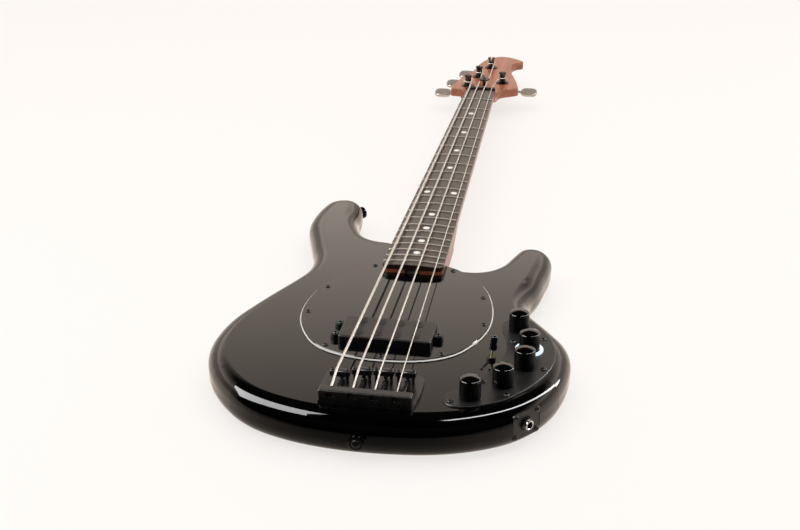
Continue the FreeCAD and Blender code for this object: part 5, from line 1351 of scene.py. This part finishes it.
@dataclass
class Studio:
    """Pale floor, backdrop, soft lamps and the camera at the photograph's angle.

    Attributes:
        eye_mm: place of the camera.
        ahead: way the camera looks.
        focal_px: focal length in pixels of the photograph.
        sensor_mm: width of the sensor.
        white_hex: colour of the background and of the light that passes through the floor.
        floor_hex: colour of the floor by its other light.
        floor_glow: share of the floor's light that passes through it from below, and so knows no shadow.
        floor_gap_mm: how far the floor lies below the instrument's back.
        floor_front_mm: where the floor's paper ends in front.
        floor_painted_shade_mm: place in front of which gloss shows the floor's painted shade at its darkest.
        floor_painted_light_mm: place behind which gloss shows the floor's painted light at full strength.
        floor_painted_gloss: painted brightness of the floor in gloss at those two places, a painted reflection
            in place of its lit and shaded parts.
        backdrop_hex: colour of the lit backdrop.
        backdrop_glow: brightness of the lit backdrop, as gloss shows it.
        backdrop: elevations in degrees with the share of that brightness there.
        backdrop_turn: Y parts of a view between which the dark room turns into the backdrop.
        room_glow: brightness of the room behind the camera.
    """

    eye_mm: tuple[float, float, float] = (205.24, -1044.63, 647.26)
    ahead: tuple[float, float, float] = (-0.1531, 0.8958, -0.4173)
    focal_px: float = 1345.94
    sensor_mm: float = 36.0
    white_hex: str = "#fffcf9"
    floor_hex: str = "#736e6b"
    floor_glow: float = 0.765
    floor_gap_mm: float = 0.5
    floor_front_mm: float = -6000.0
    floor_painted_shade_mm: float = -122.0
    floor_painted_light_mm: float = 20.0
    floor_painted_gloss: tuple[float, float] = (0.0, 1.25)
    backdrop_hex: str = "#ffefe1"
    backdrop_glow: float = 2.15
    backdrop: tuple[tuple[float, float], ...] = ((0, 0.42), (16, 0.42), (22, 1), (33, 0.22), (38, 0.01))
    backdrop_turn: tuple[float, float] = (-0.15, 0.35)
    room_glow: float = 0.04

    def build(self) -> None:
        """Set the stage."""
        self.camera()
        self.floor()
        self.world()
        self.lamps()
        bpy.context.scene.view_settings.view_transform = "Standard"

    def camera(self) -> None:
        """Place the camera."""
        lens = bpy.data.cameras.new("camera")
        lens.sensor_fit = "HORIZONTAL"
        lens.sensor_width = self.sensor_mm
        lens.lens = self.focal_px / PHOTO_WIDTH_PX * self.sensor_mm
        lens.clip_start = 0.01
        lens.clip_end = 50
        eye = bpy.data.objects.new("camera", lens)
        eye.matrix_world = frame_along(Vector(self.eye_mm) * MM, Vector(self.ahead), "-Z")
        bpy.context.scene.collection.objects.link(eye)
        bpy.context.scene.camera = eye

    def floor(self) -> None:
        """Lay the floor: pale paper that the object shades, which gloss sees as a painted reflection, dark in
        front and bright behind.
        """
        shape = bmesh.new()
        reach = 8.0
        bmesh.ops.create_grid(shape, x_segments=4, y_segments=4, size=reach)
        bmesh.ops.translate(shape, vec=(0, reach + self.floor_front_mm * MM, 0), verts=shape.verts)
        mesh = bpy.data.meshes.new("floor")
        shape.to_mesh(mesh)
        shape.free()
        ground = bpy.data.objects.new("floor", mesh)
        ground.location.z = -self.floor_gap_mm * MM
        bpy.context.scene.collection.objects.link(ground)
        paper = bpy.data.materials.new("white_paper_sweep")
        paper.use_nodes = True
        tree = paper.node_tree
        shader = tree.nodes["Principled BSDF"]
        shader.inputs["Base Color"].default_value = linear(self.floor_hex)
        shader.inputs["Roughness"].default_value = 0.9
        shader.inputs["Emission Color"].default_value = linear(self.white_hex)
        shader.inputs["Emission Strength"].default_value = self.floor_glow
        # Painted reflection: gloss sees a glow painted by place, painted shade in front of the instrument and
        # painted light behind it.
        spot = add_node(tree, "ShaderNodeNewGeometry").outputs["Position"]
        place = add_node(tree, "ShaderNodeSeparateXYZ", {"Vector": spot}).outputs["Y"]
        level = ramp(tree, place, self.floor_painted_shade_mm * MM, self.floor_painted_light_mm * MM, *self.floor_painted_gloss)
        lit = {"Color": linear(self.backdrop_hex), "Strength": level}
        mirrored = add_node(tree, "ShaderNodeEmission", lit)
        rays = add_node(tree, "ShaderNodeLightPath")
        both = add_node(tree, "ShaderNodeMixShader", {
            0: rays.outputs["Is Glossy Ray"], 1: shader.outputs["BSDF"], 2: mirrored.outputs["Emission"],
        })
        tree.links.new(both.outputs["Shader"], tree.nodes["Material Output"].inputs["Surface"])
        mesh.materials.append(paper)

    def world(self) -> None:
        """Hang a pale backdrop that fades to a dark ceiling, and show white to the camera."""
        room = bpy.data.worlds.new("room")
        bpy.context.scene.world = room
        room.use_nodes = True
        tree = room.node_tree
        view = add_node(tree, "ShaderNodeTexCoord").outputs["Generated"]
        way = add_node(tree, "ShaderNodeSeparateXYZ", {"Vector": view})
        fade = add_node(tree, "ShaderNodeValToRGB", {"Fac": way.outputs["Z"]})
        marks = fade.color_ramp.elements
        for number, (elevation, share) in enumerate(self.backdrop):
            height = math.sin(math.radians(elevation))
            mark = marks[number] if number < 2 else marks.new(height)
            mark.position = height
            mark.color = (share, share, share, 1)
        behind = ramp(tree, way.outputs["Y"], *self.backdrop_turn, self.room_glow, self.backdrop_glow)
        glow = reckon(tree, "MULTIPLY", fade.outputs["Color"], behind)
        rays = add_node(tree, "ShaderNodeLightPath")
        wall = add_node(tree, "ShaderNodeBackground", {"Color": linear(self.backdrop_hex), "Strength": glow})
        seen = tree.nodes["Background"]
        seen.inputs["Color"].default_value = linear(self.white_hex)
        mix = add_node(tree, "ShaderNodeMixShader", {
            0: rays.outputs["Is Camera Ray"], 1: wall.outputs["Background"], 2: seen.outputs["Background"],
        })
        tree.links.new(mix.outputs["Shader"], tree.nodes["World Output"].inputs["Surface"])

    def lamps(self) -> None:
        """Hang a broad fill that lights everything and the softboxes whose images show in the gloss."""
        self.softbox("fill", (0.0, 0.5, 3.0), (0.0, 0.5, 0.0), (5.0, 5.0), 152.0, mirrored=False)
        self.softbox(
            "left_box", (-1.28, -0.34, 1.2), (-0.08, -0.04, 0.04), (1.6, 0.9), 60.0, roll=42.0, lights=False,
        )
        self.softbox(
            "right_strip", (1.145, 0.624, 1.187), (0.285, 0.244, -0.143), (3.02, 0.18), 41.0,
            roll=-61.0, lights=False,
        )

    @staticmethod
    def softbox(
        name: str, place: Sequence[float], aim: Sequence[float], size: tuple[float, float], power: float,
        roll: float = 0.0, lights: bool = True, mirrored: bool = True,
    ) -> None:
        """Hang one rectangular lamp.

        Args:
            name: name of the lamp.
            place: where it hangs, in metres.
            aim: what it points at.
            size: its width and height in metres.
            power: its power in watts.
            roll: turn of the lamp about its own beam in degrees.
            lights: whether it lights dull surfaces.
            mirrored: whether gloss shows it.
        """
        light = bpy.data.lights.new(name, "AREA")
        light.shape = "RECTANGLE"
        light.size, light.size_y = size
        light.energy = power
        lamp = bpy.data.objects.new(name, light)
        beam = frame_along(Vector(place), Vector(aim) - Vector(place), "-Z")
        lamp.matrix_world = beam @ Matrix.Rotation(math.radians(roll), 4, "Z")
        lamp.visible_diffuse = lights
        lamp.visible_glossy = mirrored
        bpy.context.scene.collection.objects.link(lamp)


def main() -> None:
    """Build the instrument round its frame and set it in the studio."""
    logging.basicConfig(level=logging.INFO, format="%(message)s")
    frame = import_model()
    Studio().build()
    for kind in (BodyShell, NeckAndHead, Bridge, Pickup, Controls, CrossScrews, StringSet):
        kind(frame["nodes"]).build()


if __name__ == "__main__":
    main()
